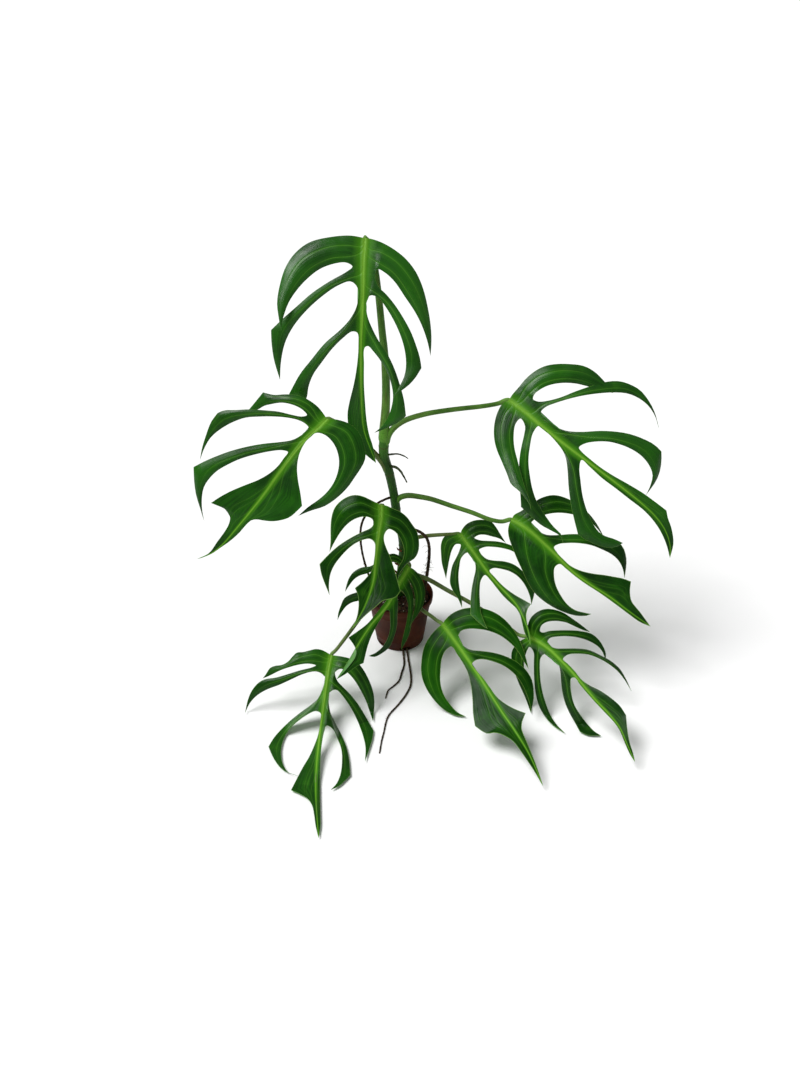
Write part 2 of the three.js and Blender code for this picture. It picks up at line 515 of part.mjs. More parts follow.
// The blade's upper face as triangles between drawn points, lobe by lobe
class BladeSheet {
  constructor(leaf) {
    this.rib = new Rib(leaf.rib);
    this.triangles = [];
    const sides = [leaf.left, leaf.right].map((text) => this.readSide(text));
    const feet = sides.flatMap((side) => side.feet);
    const regular = Array.from({ length: RIB_STATIONS + 1 }, (_, i) => i / RIB_STATIONS);
    this.stations = [...feet, 0, 1];
    for (const share of regular) {
      const clearance = STATION_CLEARANCE / RIB_STATIONS;
      if (this.stations.every((station) => Math.abs(station - share) > clearance)) {
        this.stations.push(share);
      }
    }
    this.stations = [...new Set(this.stations)].sort((a, b) => a - b);
    sides.forEach((side) => this.addSide(side));
  }

  readSide(text) {
    const base = this.rib.at(0);
    const points = [{ x: base.x, y: base.y, near: 0, kind: 'base' }, ...readPoints(text)];
    const line = smoothWalk(points).map((p) => new THREE.Vector3(p.x, p.y, 0));
    const feet = [];
    for (const gap of points.filter((p) => p.kind === 'gap')) {
      const before = feet.length > 0 ? feet[feet.length - 1] : 0;
      feet.push(Math.max(this.rib.nearest(gap), before + FOOT_SPACING));
    }
    return { points, line, feet };
  }

  addSide({ points, line, feet }) {
    const gaps = points.filter((p) => p.kind === 'gap');
    const tips = points.filter((p) => p.kind === 'tip');
    const corners = points.filter((p) => ['corner', 'bend'].includes(p.kind)).map((p) => p.step);
    const cornersBetween = (a, b) => corners.filter((step) => step > a && step < b)
      .map((step) => step - a);
    let startStep = 0;
    let startFoot = 0;
    gaps.forEach((gap, index) => {
      const tip = tips[index];
      const upper = line.slice(startStep, tip.step + 1);
      const lower = line.slice(tip.step, gap.step + 1).reverse();
      const lowerCorners = cornersBetween(tip.step, gap.step)
        .map((step) => gap.step - tip.step - step);
      this.addLobe({
        shares: [startFoot, feet[index]],
        upper,
        lower,
        upperCorners: cornersBetween(startStep, tip.step),
        lowerCorners: lowerCorners.reverse(),
        fromBase: index === 0,
        lift: tip.near,
      });
      startStep = gap.step;
      startFoot = feet[index];
    });
    const tip = tips[tips.length - 1];
    const margin = line.slice(startStep, tip.step + 1);
    this.addTerminal(margin, cornersBetween(startStep, tip.step), startFoot);
  }

  // Where the lobe that starts at the blade's base leaves the wing along the rib
  splitFromBase(upper, reach) {
    let length = 0;
    let step = 0;
    while (step < upper.length - 1 && length < reach) {
      step += 1;
      length += flatDistance(upper[step], upper[step - 1]);
    }
    return Math.max(step, 1);
  }

  addLobe({ shares, upper, lower, upperCorners, lowerCorners, fromBase, lift }) {
    const foot = this.rib.at(shares[1]);
    const split = fromBase ? this.splitFromBase(upper, flatDistance(foot, lower[0])) : 0;
    const upperCornersLeft = upperCorners.filter((step) => step > split).map((step) => step - split);
    const upperRows = resample(upper.slice(split), upperCornersLeft, LOBE_ROWS);
    const lowerRows = resample(lower, lowerCorners, LOBE_ROWS);
    const tip = upperRows[LOBE_ROWS];
    const baseMiddle = this.rib.at((shares[0] + shares[1]) / 2);
    const reach = flatDistance(baseMiddle, tip);
    const wingNear = (across) => {
      const base = this.rib.at(shares[0] + (shares[1] - shares[0]) * across);
      const edge = upperRows[0].clone().lerp(lowerRows[0], across);
      return base.z + wingRise(flatDistance(base, edge));
    };
    const rows = upperRows.map((upperPoint, row) => {
      const along = easedShare(row, LOBE_ROWS);
      const lowerPoint = lowerRows[row];
      const width = flatDistance(upperPoint, lowerPoint);
      return Array.from({ length: LOBE_COLUMNS + 1 }, (_, column) => {
        const across = column / LOBE_COLUMNS;
        const point = upperPoint.clone().lerp(lowerPoint, across);
        const base = THREE.MathUtils.lerp(wingNear(across), wingNear(0.5), along);
        const arch = reach * (LOBE_SLOPE * along - (LOBE_SLOPE + LOBE_DROOP) * along * along);
        const cup = LOBE_CUP * width * (2 * across - 1) ** 2 * Math.min(1, CUP_ONSET * along);
        point.z = base + arch - cup + lift * along * along;
        return point;
      });
    });
    const ribRow = this.stationsBetween(...shares);
    const firstRow = rows[0].map((point, column) => ({
      point,
      share: shares[0] + ((shares[1] - shares[0]) * column) / LOBE_COLUMNS,
    }));
    const strip = this.zip(ribRow, firstRow);
    for (let row = 0; row < LOBE_ROWS; row += 1) {
      for (let column = 0; column < LOBE_COLUMNS; column += 1) {
        const a = rows[row][column];
        const b = rows[row][column + 1];
        const c = rows[row + 1][column + 1];
        const d = rows[row + 1][column];
        strip.push([a, b, c], [a, c, d]);
      }
    }
    this.addStrip(strip);
  }

  addTerminal(margin, corners, startShare) {
    const rows = resample(margin, corners, TERMINAL_ROWS);
    const outer = rows.map((point, row) => {
      const share = startShare + (1 - startShare) * easedShare(row, TERMINAL_ROWS);
      const inner = this.rib.at(share);
      point.z = inner.z + wingRise(flatDistance(inner, point));
      return { point, share };
    });
    this.addStrip(this.zip(this.stationsBetween(startShare, 1), outer));
  }

  stationsBetween(from, to) {
    return this.stations.filter((share) => share >= from && share <= to)
      .map((share) => ({ point: this.rib.at(share), share }));
  }

  // Triangles between two lines of points, each with its share of the rib's length
  zip(first, second) {
    const strip = [];
    let i = 0;
    let j = 0;
    while (i < first.length - 1 || j < second.length - 1) {
      const nextFirst = i < first.length - 1 ? first[i + 1].share : Infinity;
      const nextSecond = j < second.length - 1 ? second[j + 1].share : Infinity;
      if (nextFirst <= nextSecond) {
        strip.push([first[i].point, first[i + 1].point, second[j].point]);
        i += 1;
      } else {
        strip.push([first[i].point, second[j + 1].point, second[j].point]);
        j += 1;
      }
    }
    return strip;
  }

  // Turns a strip to face the eye and keeps it clear of the surface below
  addStrip(strip) {
    const area = strip.reduce((sum, [a, b, c]) => (
      sum + (b.x - a.x) * (a.y - c.y) - (c.x - a.x) * (a.y - b.y)), 0);
    for (const [a, b, c] of strip) {
      this.triangles.push((area > 0 ? [a, b, c] : [a, c, b]).map((p) => {
        const lowest = nearAtHeight(p.y, FLOOR_CLEARANCE);
        return place(p.x, p.y, Math.max(p.z, lowest));
      }));
    }
  }
}

// A welded copy of loose triangles: corner positions and the triangles' indices. Corners
// are the same where they agree to 1 / WELD_GRAIN mm
const WELD_GRAIN = 1000;
function weld(triangles) {
  const keys = new Map();
  const points = [];
  const faces = [];
  for (const triangle of triangles) {
    const face = triangle.map((point) => {
      const key = point.toArray().map((value) => Math.round(value * WELD_GRAIN)).join(',');
      if (!keys.has(key)) {
        keys.set(key, points.length);
        points.push(point);
      }
      return keys.get(key);
    });
    if (new Set(face).size === 3) {
      faces.push(face);
    }
  }
  return { points, faces };
}

// Gives an open sheet its thickness: the same triangles below, and a wall round the edge
function thicken(triangles, thickness) {
  const { points, faces } = weld(triangles);
  const normals = points.map(() => new THREE.Vector3());
  const edges = new Map();
  for (const [a, b, c] of faces) {
    const normal = points[b].clone().sub(points[a]).cross(points[c].clone().sub(points[a]));
    [a, b, c].forEach((index) => normals[index].add(normal));
    [[a, b], [b, c], [c, a]].forEach(([from, to]) => edges.set(`${from},${to}`, [from, to]));
  }
  const count = points.length;
  const below = points.map((point, index) => (
    point.clone().addScaledVector(normals[index].normalize(), -thickness)));
  const all = [...faces];
  faces.forEach(([a, b, c]) => all.push([a + count, c + count, b + count]));
  for (const [from, to] of edges.values()) {
    if (!edges.has(`${to},${from}`)) {
      all.push([to, from, from + count], [to, from + count, to + count]);
    }
  }
  return solidFrom([...points, ...below], all);
}

function solidFrom(points, faces) {
  const vertProperties = new Float32Array(points.flatMap((point) => point.toArray()));
  const triVerts = new Uint32Array(faces.flat());
  return new wasm.Manifold(new wasm.Mesh({ numProp: 3, vertProperties, triVerts }));
}

function solidFromGeometry(geometry) {
  geometry.deleteAttribute('normal');
  geometry.deleteAttribute('uv');
  const welded = mergeVertices(geometry, 1 / WELD_GRAIN);
  return new wasm.Manifold(new wasm.Mesh({
    numProp: 3,
    vertProperties: new Float32Array(welded.attributes.position.array),
    triVerts: new Uint32Array(welded.index.array),
  }));
}

// A closed round limb along a smooth curve, with a radius at each ring; extra makes it
// larger all over, as the clearance that another piece is cut to
const SIDEWAYS_LIMIT = 0.8;
function limb(points, radiusAt, rings, sides, extra = 0) {
  const curve = new THREE.CatmullRomCurve3(points, false, 'centripetal');
  const centres = curve.getSpacedPoints(rings);
  centres[0].addScaledVector(curve.getTangent(0), -extra);
  centres[rings].addScaledVector(curve.getTangent(1), extra);
  const vertices = [];
  const faces = [];
  let across = new THREE.Vector3();
  centres.forEach((centre, ring) => {
    const before = centres[Math.max(ring - 1, 0)];
    const after = centres[Math.min(ring + 1, rings)];
    const along = after.clone().sub(before).normalize();
    if (ring === 0) {
      const sideways = Math.abs(along.x) > SIDEWAYS_LIMIT;
      const guide = sideways ? new THREE.Vector3(0, 1, 0) : new THREE.Vector3(1, 0, 0);
      across = guide.sub(along.clone().multiplyScalar(guide.dot(along))).normalize();
    } else {
      across.sub(along.clone().multiplyScalar(across.dot(along))).normalize();
    }
    const other = along.clone().cross(across);
    const radius = radiusAt(ring / rings) + extra;
    for (let side = 0; side < sides; side += 1) {
      const angle = (2 * Math.PI * side) / sides;
      vertices.push(centre.clone()
        .addScaledVector(across, Math.cos(angle) * radius)
        .addScaledVector(other, Math.sin(angle) * radius));
    }
  });
  for (let ring = 0; ring < rings; ring += 1) {
    for (let side = 0; side < sides; side += 1) {
      const next = (side + 1) % sides;
      const a = ring * sides + side;
      const b = ring * sides + next;
      faces.push([a, b, b + sides], [a, b + sides, a + sides]);
    }
  }
  const first = vertices.length;
  vertices.push(centres[0].clone(), centres[rings].clone());
  for (let side = 0; side < sides; side += 1) {
    const next = (side + 1) % sides;
    faces.push([first, next, side]);
    faces.push([first + 1, rings * sides + side, rings * sides + next]);
  }
  return solidFrom(vertices, faces);
}

const placeAll = (text) => readPoints(text).map((p) => place(p.x, p.y, p.near));

// Radii given at equal shares of a limb's length
function radiusList(radii) {
  return (share) => {
    const position = share * (radii.length - 1);
    const index = Math.min(Math.floor(position), radii.length - 2);
    return THREE.MathUtils.lerp(radii[index], radii[index + 1], position - index);
  };
}

function stemSolid(extra = 0) {
  const drawn = placeAll(STEM_PATH);
  const foot = drawn[drawn.length - 1];
  const buried = new THREE.Vector3(foot.x, foot.y, STEM_FOOT - extra);
  const radii = radiusList([...STEM_RADII, STEM_FOOT_RADIUS]);
  return limb([...drawn, buried], radii, STEM_RINGS, STEM_SIDES, extra);
}

// A leaf's stalk, wider where it clasps the stem
function stalkSolid(leaf, extra = 0) {
  const [base, end] = leaf.radii;
  const points = placeAll(leaf.stalk);
  const rib = readPoints(leaf.rib);
  points.push(place(rib[0].x, rib[0].y, rib[0].near - end + RIB_PROUD));
  points.push(place(rib[1].x, rib[1].y, rib[1].near - end * STALK_TUCK + RIB_PROUD));
  const flare = (share) => 1 + (SHEATH_FLARE - 1) * Math.max(0, 1 - share / SHEATH_SHARE);
  const radiusAt = (share) => THREE.MathUtils.lerp(base, end, share) * flare(share);
  return limb(points, radiusAt, STALK_RINGS, STALK_SIDES, extra);
}

// The raised rib under and along the blade
function ribSolid(leaf) {
  const rib = new Rib(leaf.rib);
  const start = leaf.radii[1];
  const radiusAt = (share) => THREE.MathUtils.lerp(start, RIB_END_RADIUS, share ** RIB_TAPER_POWER);
  const points = Array.from({ length: RIB_RINGS + 1 }, (_, index) => {
    const share = index / RIB_RINGS;
    const point = rib.at(share * RIB_END);
    const near = Math.max(point.z, nearAtHeight(point.y, FLOOR_CLEARANCE));
    return place(point.x, point.y, near - radiusAt(share) + RIB_PROUD * (1 - share));
  });
  return limb(points, radiusAt, RIB_RINGS, STALK_SIDES);
}

function leafSolid(leaf, cutters) {
  const blade = thicken(new BladeSheet(leaf).triangles, BLADE_THICKNESS);
  let stalk = stalkSolid(leaf);
  for (const cutter of cutters) {
    stalk = stalk.subtract(cutter);
  }
  return blade.add(stalk).add(ribSolid(leaf));
}

function airRootSolid(root, extra = 0) {
  const points = placeAll(root.path);
  if (root.soilDepth) {
    const last = points[points.length - 1];
    points.push(new THREE.Vector3(last.x, last.y, SOIL_TOP - root.soilDepth - extra));
  }
  const rings = root.soilDepth ? ROOT_RINGS.buried : ROOT_RINGS.free;
  return limb(points, radiusList(root.radii), rings, ROOT_SIDES, extra);
}

function trailingRootSolid(root, extra = 0) {
  const [start, end] = root.radii;
  const drawn = readPoints(root.path);
  const points = drawn.map((p, index) => {
    const share = index / (drawn.length - 1);
    const rest = THREE.MathUtils.lerp(start, end, share) + ROOT_REST;
    return place(p.x, p.y, nearAtHeight(p.y, rest));
  });
  const [x, y] = root.start;
  const inside = new THREE.Vector3(x, y, SLOT_ROOT_HEIGHT + SLOT_ROOT_RISE);
  const doorway = new THREE.Vector3(x, -POT_BASE_RADIUS, SLOT_ROOT_HEIGHT);
  const first = Math.round(drawn.length * SLOT_ROOT_SHARE);
  const path = [inside, doorway, ...points.slice(first)];
  return limb(path, radiusList([start, start, end]), ROOT_RINGS.trailing, ROOT_SIDES, extra);
}

// The pot's wall where the lip starts: its outer radius and its height
const wallTop = { radius: POT_RIM_RADIUS - RIM_OVERHANG, height: POT_HEIGHT - RIM_DEPTH };

function potSolid() {
  const floorRadius = POT_BASE_RADIUS - POT_WALL;
  const profile = [
    [0, 0],
    [POT_BASE_RADIUS - FOOT_BEVEL, 0],
    [POT_BASE_RADIUS, FOOT_BEVEL],
    [wallTop.radius, wallTop.height],
    [POT_RIM_RADIUS - RIM_TAPER, wallTop.height],
    [POT_RIM_RADIUS, POT_HEIGHT - RIM_BEVEL],
    [POT_RIM_RADIUS - RIM_BEVEL, POT_HEIGHT],
    [POT_RIM_RADIUS - RIM_WIDTH, POT_HEIGHT],
    [wallTop.radius - POT_WALL, wallTop.height],
    [floorRadius, POT_FLOOR + FOOT_BEVEL],
    [floorRadius - FOOT_BEVEL, POT_FLOOR],
    [0, POT_FLOOR],
  ].map(([radius, height]) => new THREE.Vector2(radius, height));
  const shell = new THREE.LatheGeometry(profile, POT_SEGMENTS);
  shell.rotateX(Math.PI / 2);
  let pot = solidFromGeometry(shell);
  for (let slot = 0; slot < SLOT_COUNT; slot += 1) {
    const angle = FIRST_SLOT_ANGLE + (2 * Math.PI * slot) / SLOT_COUNT;
    const box = new THREE.BoxGeometry(SLOT_LENGTH, SLOT_WIDTH, SLOT_HEIGHT);
    box.translate(POT_BASE_RADIUS, 0, POT_FLOOR + SLOT_HEIGHT / 2 - SLOT_SINK);
    box.rotateZ(angle);
    pot = pot.subtract(solidFromGeometry(box));
  }
  return pot;
}

function soilSolid(cutters) {
  const floor = POT_FLOOR + GAP;
  const floorRadius = POT_BASE_RADIUS - POT_WALL - SOIL_CLEARANCE;
  const topRadius = wallTop.radius - POT_WALL - GAP;
  const profile = [
    [0, floor],
    [floorRadius - SOIL_CLEARANCE, floor],
    [floorRadius, floor + SOIL_BEVEL],
    [topRadius - GAP, wallTop.height],
    [topRadius + (SOIL_TOP - wallTop.height) * SOIL_EDGE_SLOPE, SOIL_TOP - SOIL_BEVEL],
    ...SOIL_HEAP.map(([share, rise]) => [topRadius * share, SOIL_TOP + rise]),
  ].map(([radius, height]) => new THREE.Vector2(radius, height));
  const heap = new THREE.LatheGeometry(profile, POT_SEGMENTS);
  heap.rotateX(Math.PI / 2);
  return cutters.reduce((solid, cutter) => solid.subtract(cutter), solidFromGeometry(heap));
}

const plant = new THREE.Group();

// Only the largest body of a solid is kept: a cut can leave a scrap behind
function addPiece(name, solid, finish) {
  const body = solid.decompose().reduce((a, b) => (b.volume() > a.volume() ? b : a));
  const { vertProperties, triVerts } = body.getMesh();
  const geometry = new THREE.BufferGeometry();
  geometry.setAttribute('position', new THREE.BufferAttribute(new Float32Array(vertProperties), 3));
  geometry.setIndex(new THREE.BufferAttribute(new Uint32Array(triVerts), 1));
  geometry.computeVertexNormals();
  const mesh = new THREE.Mesh(geometry, new THREE.MeshStandardMaterial({ ...finish, metalness: 0 }));
  mesh.name = name;
  plant.add(mesh);
}

addPiece('pot', potSolid(), FINISHES.pot);

const stem = stemSolid();
const stemClearance = stemSolid(GAP);
const airRoots = Object.entries(AERIAL_ROOTS);
const trailingRoots = Object.entries(TRAILING_ROOTS);
const soilCutters = [
  stemClearance,
  ...airRoots.filter(([, root]) => root.soilDepth).map(([, root]) => airRootSolid(root, GAP)),
  ...trailingRoots.map(([, root]) => trailingRootSolid(root, GAP)),
];
addPiece('soil', soilSolid(soilCutters), FINISHES.soil);
addPiece('stem', stem, FINISHES.stem);
for (const [name, root] of airRoots) {
  addPiece(name, airRootSolid(root).subtract(stemClearance), FINISHES.root);
}
for (const [name, root] of trailingRoots) {
  addPiece(name, trailingRootSolid(root), FINISHES.root);
}

const stalkClearances = [stemClearance];
for (const [name, leaf] of Object.entries(LEAVES)) {
  addPiece(name, leafSolid(leaf, stalkClearances), FINISHES.blade);
  stalkClearances.push(stalkSolid(leaf, GAP));
}

export default plant;
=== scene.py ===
"""Looks of a potted Burle Marx Flame monstera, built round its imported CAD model.

The plant has ten deeply cut leaves on long stalks, a climbing stem with aerial roots, and a
plastic nursery pot filled with bark mix. Lengths are in millimetres unless a comment says
otherwise. Every finished mesh is in metres, in the model's own frame.
"""

import logging
import math
import random
from collections.abc import Iterable
from dataclasses import dataclass
from enum import Enum

import bmesh
import bpy
import numpy as np
from mathutils import Matrix, Vector, noise
from mathutils.geometry import interpolate_bezier


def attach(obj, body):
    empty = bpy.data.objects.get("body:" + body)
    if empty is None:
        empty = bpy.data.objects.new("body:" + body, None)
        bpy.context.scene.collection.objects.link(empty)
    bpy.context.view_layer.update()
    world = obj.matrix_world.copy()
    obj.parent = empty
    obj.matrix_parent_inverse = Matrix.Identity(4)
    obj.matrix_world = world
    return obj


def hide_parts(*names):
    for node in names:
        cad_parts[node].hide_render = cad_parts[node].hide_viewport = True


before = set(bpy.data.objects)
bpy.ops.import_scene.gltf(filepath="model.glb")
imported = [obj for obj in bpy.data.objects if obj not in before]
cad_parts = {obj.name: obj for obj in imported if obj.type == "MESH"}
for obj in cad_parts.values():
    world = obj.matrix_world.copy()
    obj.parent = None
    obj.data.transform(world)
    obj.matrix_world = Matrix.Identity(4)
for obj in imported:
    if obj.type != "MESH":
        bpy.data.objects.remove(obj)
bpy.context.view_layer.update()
LOG = logging.getLogger("monstera")
MM = 0.001

Array = np.ndarray
Line = list[Vector]
Material = bpy.types.Material
Mesh = bpy.types.Mesh
Object = bpy.types.Object
Pair = tuple[float, float]
Socket = bpy.types.NodeSocket
Sockets = bpy.types.bpy_prop_collection
Triple = tuple[float, float, float]


# ---- The drawing ----


class PointKind(Enum):
    """What a drawn point is: part of an edge, or a place where the edge turns."""

    EDGE = "edge"
    BASE = "base"
    TIP = "tip"
    GAP = "gap"
    CORNER = "corner"
    BEND = "bend"


@dataclass
class DrawnPoint:
    """A drawn point: x and y in squares and near, towards the eye, in millimetres."""

    place: Vector
    kind: PointKind = PointKind.EDGE
    step: int = 0


@dataclass(frozen=True)
class DrawingPlane:
    """The plane that the plant is drawn on, facing an eye raised above the horizon."""

    square: float = 2.0
    centre: Pair = (400.0, 532.5)
    elevation: float = math.radians(35)
    eye_distance: float = 2500.0
    soil_top: float = 105.0
    lift: float = 126.0
    picture_height: float = 1065.0

    def __post_init__(self) -> None:
        """Finds the plane's directions and its origin, in millimetres."""
        across, rise = math.sin(self.elevation), math.cos(self.elevation)
        for name, value in (
            ("right", Vector((1, 0, 0))), ("up", Vector((0, across, rise))),
            ("towards_eye", Vector((0, -rise, across))),
            ("origin", Vector((0, 0, self.soil_top)) + Vector((0, across, rise)) * self.lift),
        ):
            object.__setattr__(self, name, value)

    def place_all(self, points: Array) -> Array:
        """Puts points of the drawing in space.

        Args:
            points: x and y in squares and near in millimetres, in the last axis.

        Returns:
            The places in metres, in an array of the same shape.
        """
        shrink = 1 - points[..., 2:3] / self.eye_distance
        across = (points[..., 0:1] - self.centre[0]) * self.square * shrink
        rise = (self.centre[1] - points[..., 1:2]) * self.square * shrink
        places = np.array(self.origin) + np.array(self.right) * across
        places = places + np.array(self.up) * rise
        return (places + np.array(self.towards_eye) * points[..., 2:3]) * MM

    def place(self, point: Iterable[float]) -> Vector:
        """Puts one point of the drawing in space, in metres."""
        return Vector(self.place_all(np.array(point)))

    def near_at_height(self, y: float | Array, height: float) -> float | Array:
        """The near value, in millimetres, that puts a drawn y at a height over the floor."""
        lift = (self.centre[1] - y) * self.square * self.up.z
        return (height - self.origin.z - lift) / (self.towards_eye.z - lift / self.eye_distance)


PLANE = DrawingPlane()
STEPS_PER_SPAN = 8
ROW_EASE = 1.3
WING_EASE = 1.4
RIB_STEP = 0.6
SPOT_RASTER = 50
CHUNK = 2000
NO_VEIN = 99.0
VEIN_ROWS = (0.12, 0.3, 0.5, 0.7, 0.85, 1.0)
RIB_SHARES = (0.0, 0.06, 0.15, 0.28, 0.42, 0.56, 0.7, 0.82)


def read_points(text: str) -> list[DrawnPoint]:
    """Reads drawn points from text.

    Args:
        text: words such as 'x,y', 'x,y,near' and 'tip x,y', where x and y are the steps from
            the point before.

    Returns:
        The points, each with its kind.
    """
    points = []
    kind = PointKind.EDGE
    x = y = 0.0
    for word in text.split():
        if word.isalpha():
            kind = PointKind(word)
            continue
        across, down, *near = map(float, word.split(","))
        x, y = round(x + across, 1), round(y + down, 1)
        points.append(DrawnPoint(Vector((x, y, *(near or [0.0]))), kind))
        kind = PointKind.EDGE
    return points


def smooth_curve(points: Line, per_span: int = STEPS_PER_SPAN) -> Line:
    """Runs a centripetal Catmull-Rom curve through points.

    Args:
        points: the points that the curve passes.
        per_span: the number of steps between two points.

    Returns:
        The curve's steps, from the first point to the last.
    """
    guide = [points[0] * 2 - points[1], *points, points[-1] * 2 - points[-2]]
    result = []
    for first in range(len(points) - 1):
        p0, p1, p2, p3 = guide[first:first + 4]
        gaps = [(b - a).length_squared ** 0.25 for a, b in ((p0, p1), (p1, p2), (p2, p3))]
        middle = gaps[1] if gaps[1] > 1e-4 else 1.0
        before = gaps[0] if gaps[0] > 1e-4 else middle
        after = gaps[2] if gaps[2] > 1e-4 else middle
        leave = (p1 - p0) / before - (p2 - p0) / (before + middle) + (p2 - p1) / middle
        arrive = (p2 - p1) / middle - (p3 - p1) / (middle + after) + (p3 - p2) / after
        leave = leave * middle
        arrive = arrive * middle
        for step in range(per_span):
            t = step / per_span
            square_part = (p2 - p1) * 3 - leave * 2 - arrive
            cube_part = (p1 - p2) * 2 + leave + arrive
            result.append(p1 + leave * t + square_part * t ** 2 + cube_part * t ** 3)
    result.append(points[-1].copy())
    return result


def smooth_walk(points: list[DrawnPoint]) -> Line:
    """Runs a smooth line through drawn points, broken at tips and corners.

    Args:
        points: the drawn points; each is given the number of its own step.

    Returns:
        The steps of the line.
    """
    sharp = (PointKind.TIP, PointKind.CORNER)
    steps: Line = []
    start = 0
    while start < len(points) - 1:
        end = start + 1
        while end < len(points) - 1 and points[end].kind not in sharp:
            end += 1
        run = points[start:end + 1]
        for index, point in enumerate(run):
            point.step = len(steps) + index * STEPS_PER_SPAN
        steps.extend(smooth_curve([point.place for point in run])[:-1])
        start = end
    points[-1].step = len(steps)
    steps.append(points[-1].place)
    return steps


def flat_length(a: Vector, b: Vector) -> float:
    """The distance between two points over the drawing, in millimetres."""
    return math.hypot(a.x - b.x, a.y - b.y) * PLANE.square


def flat_distance(a: Array, b: Array) -> Array:
    """The distances between arrays of points over the drawing, in millimetres."""
    return np.linalg.norm(a[..., :2] - b[..., :2], axis=-1) * PLANE.square


def as_array(steps: Iterable[Vector]) -> Array:
    """The steps of a line as an array."""
    return np.array([tuple(step) for step in steps])


def between(wanted: float | Array, marks: Array, points: Array) -> Array:
    """The points of a line at wanted marks, where its own points have the marks given."""
    return np.stack([np.interp(wanted, marks, points[:, axis]) for axis in range(3)], axis=-1)


def eased(rows: int, ease: float) -> Array:
    """Shares from 0 to 1, one more than the rows, closer together at the start."""
    return (np.arange(rows + 1) / rows) ** ease


def resample(line: Line, corners: list[int], rows: int, ease: float) -> Array:
    """Spreads points over rows along a line, with each corner kept on a row.

    Args:
        line: the line's steps.
        corners: the numbers of the steps that are corners.
        rows: the number of rows.
        ease: the power that brings the rows closer at the start.

    Returns:
        An array of rows + 1 points.
    """
    points = as_array(line)
    spans = np.linalg.norm(np.diff(points, axis=0), axis=1)
    lengths = np.concatenate([[0.0], np.cumsum(spans)])
    total = lengths[-1]
    marks = [(0, 0.0)]
    for corner in corners:
        row = round(rows * (lengths[corner] / total) ** (1 / ease))
        last = rows - (len(corners) - len(marks) + 1)
        marks.append((min(max(row, marks[-1][0] + 1), last), lengths[corner]))
    marks.append((rows, total))
    wanted = []
    for (row_a, length_a), (row_b, length_b) in zip(marks, marks[1:]):
        share_a = (row_a / rows) ** ease
        share_b = (row_b / rows) ** ease
        for row in range(row_a, row_b):
            part = ((row / rows) ** ease - share_a) / (share_b - share_a)
            wanted.append(length_a + (length_b - length_a) * part)
    wanted.append(total)
    return between(wanted, lengths, points)


def smooth_step(low: float, high: float, value: float | Array) -> float | Array:
    """An eased rise from 0 at low to 1 at high."""
    share = np.clip((value - low) / (high - low), 0.0, 1.0)
    return share * share * (3 - 2 * share)


def distance_to_line(points: Array, line: Array, signed: bool = False) -> Array:
    """Measures how far points are from a line over the drawing.

    Args:
        points: an array of points.
        line: the line's steps, as an array.
        signed: whether distances on the line's left side are less than 0.

    Returns:
        The distances in millimetres.
    """
    flat = points.reshape(-1, points.shape[-1])[:, :2]
    start = line[:-1, :2]
    span = line[1:, :2] - start
    square = np.maximum((span ** 2).sum(axis=1), 1e-9)
    result = np.empty(len(flat))
    for piece in range(0, len(flat), CHUNK):
        part = flat[piece:piece + CHUNK, None, :] - start
        along = np.clip((part * span).sum(axis=2) / square, 0.0, 1.0)
        far = np.sqrt(((part - along[..., None] * span) ** 2).sum(axis=2))
        nearest = far.argmin(axis=1)
        rows = np.arange(len(part))
        best, way, off = far[rows, nearest], span[nearest], part[rows, nearest]
        if signed:
            best = best * np.where(way[:, 0] * off[:, 1] - way[:, 1] * off[:, 0] < 0, -1.0, 1.0)
        result[piece:piece + CHUNK] = best
    return (result * PLANE.square).reshape(points.shape[:-1])


def read_table(text: str) -> dict[str, dict[str, str]]:
    """Reads a table of drawings.

    Args:
        text: each piece's name in brackets, then its parts, such as 'rib: x,y,near x,y,near'.

    Returns:
        The text of each part of each piece.
    """
    table: dict[str, dict[str, str]] = {}
    for word in text.split():
        if word.startswith("["):
            parts = table[word.strip("[]")] = {}
        elif word.endswith(":"):
            part = word.strip(":")
            parts[part] = ""
        else:
            parts[part] += word + " "
    return table


@dataclass(frozen=True)
class LeafDrawing:
    """One leaf as drawn: its stalk, the stalk's radii, its rib and its two margins."""

    stalk: str
    radii: Pair
    rib: str
    left: str
    right: str


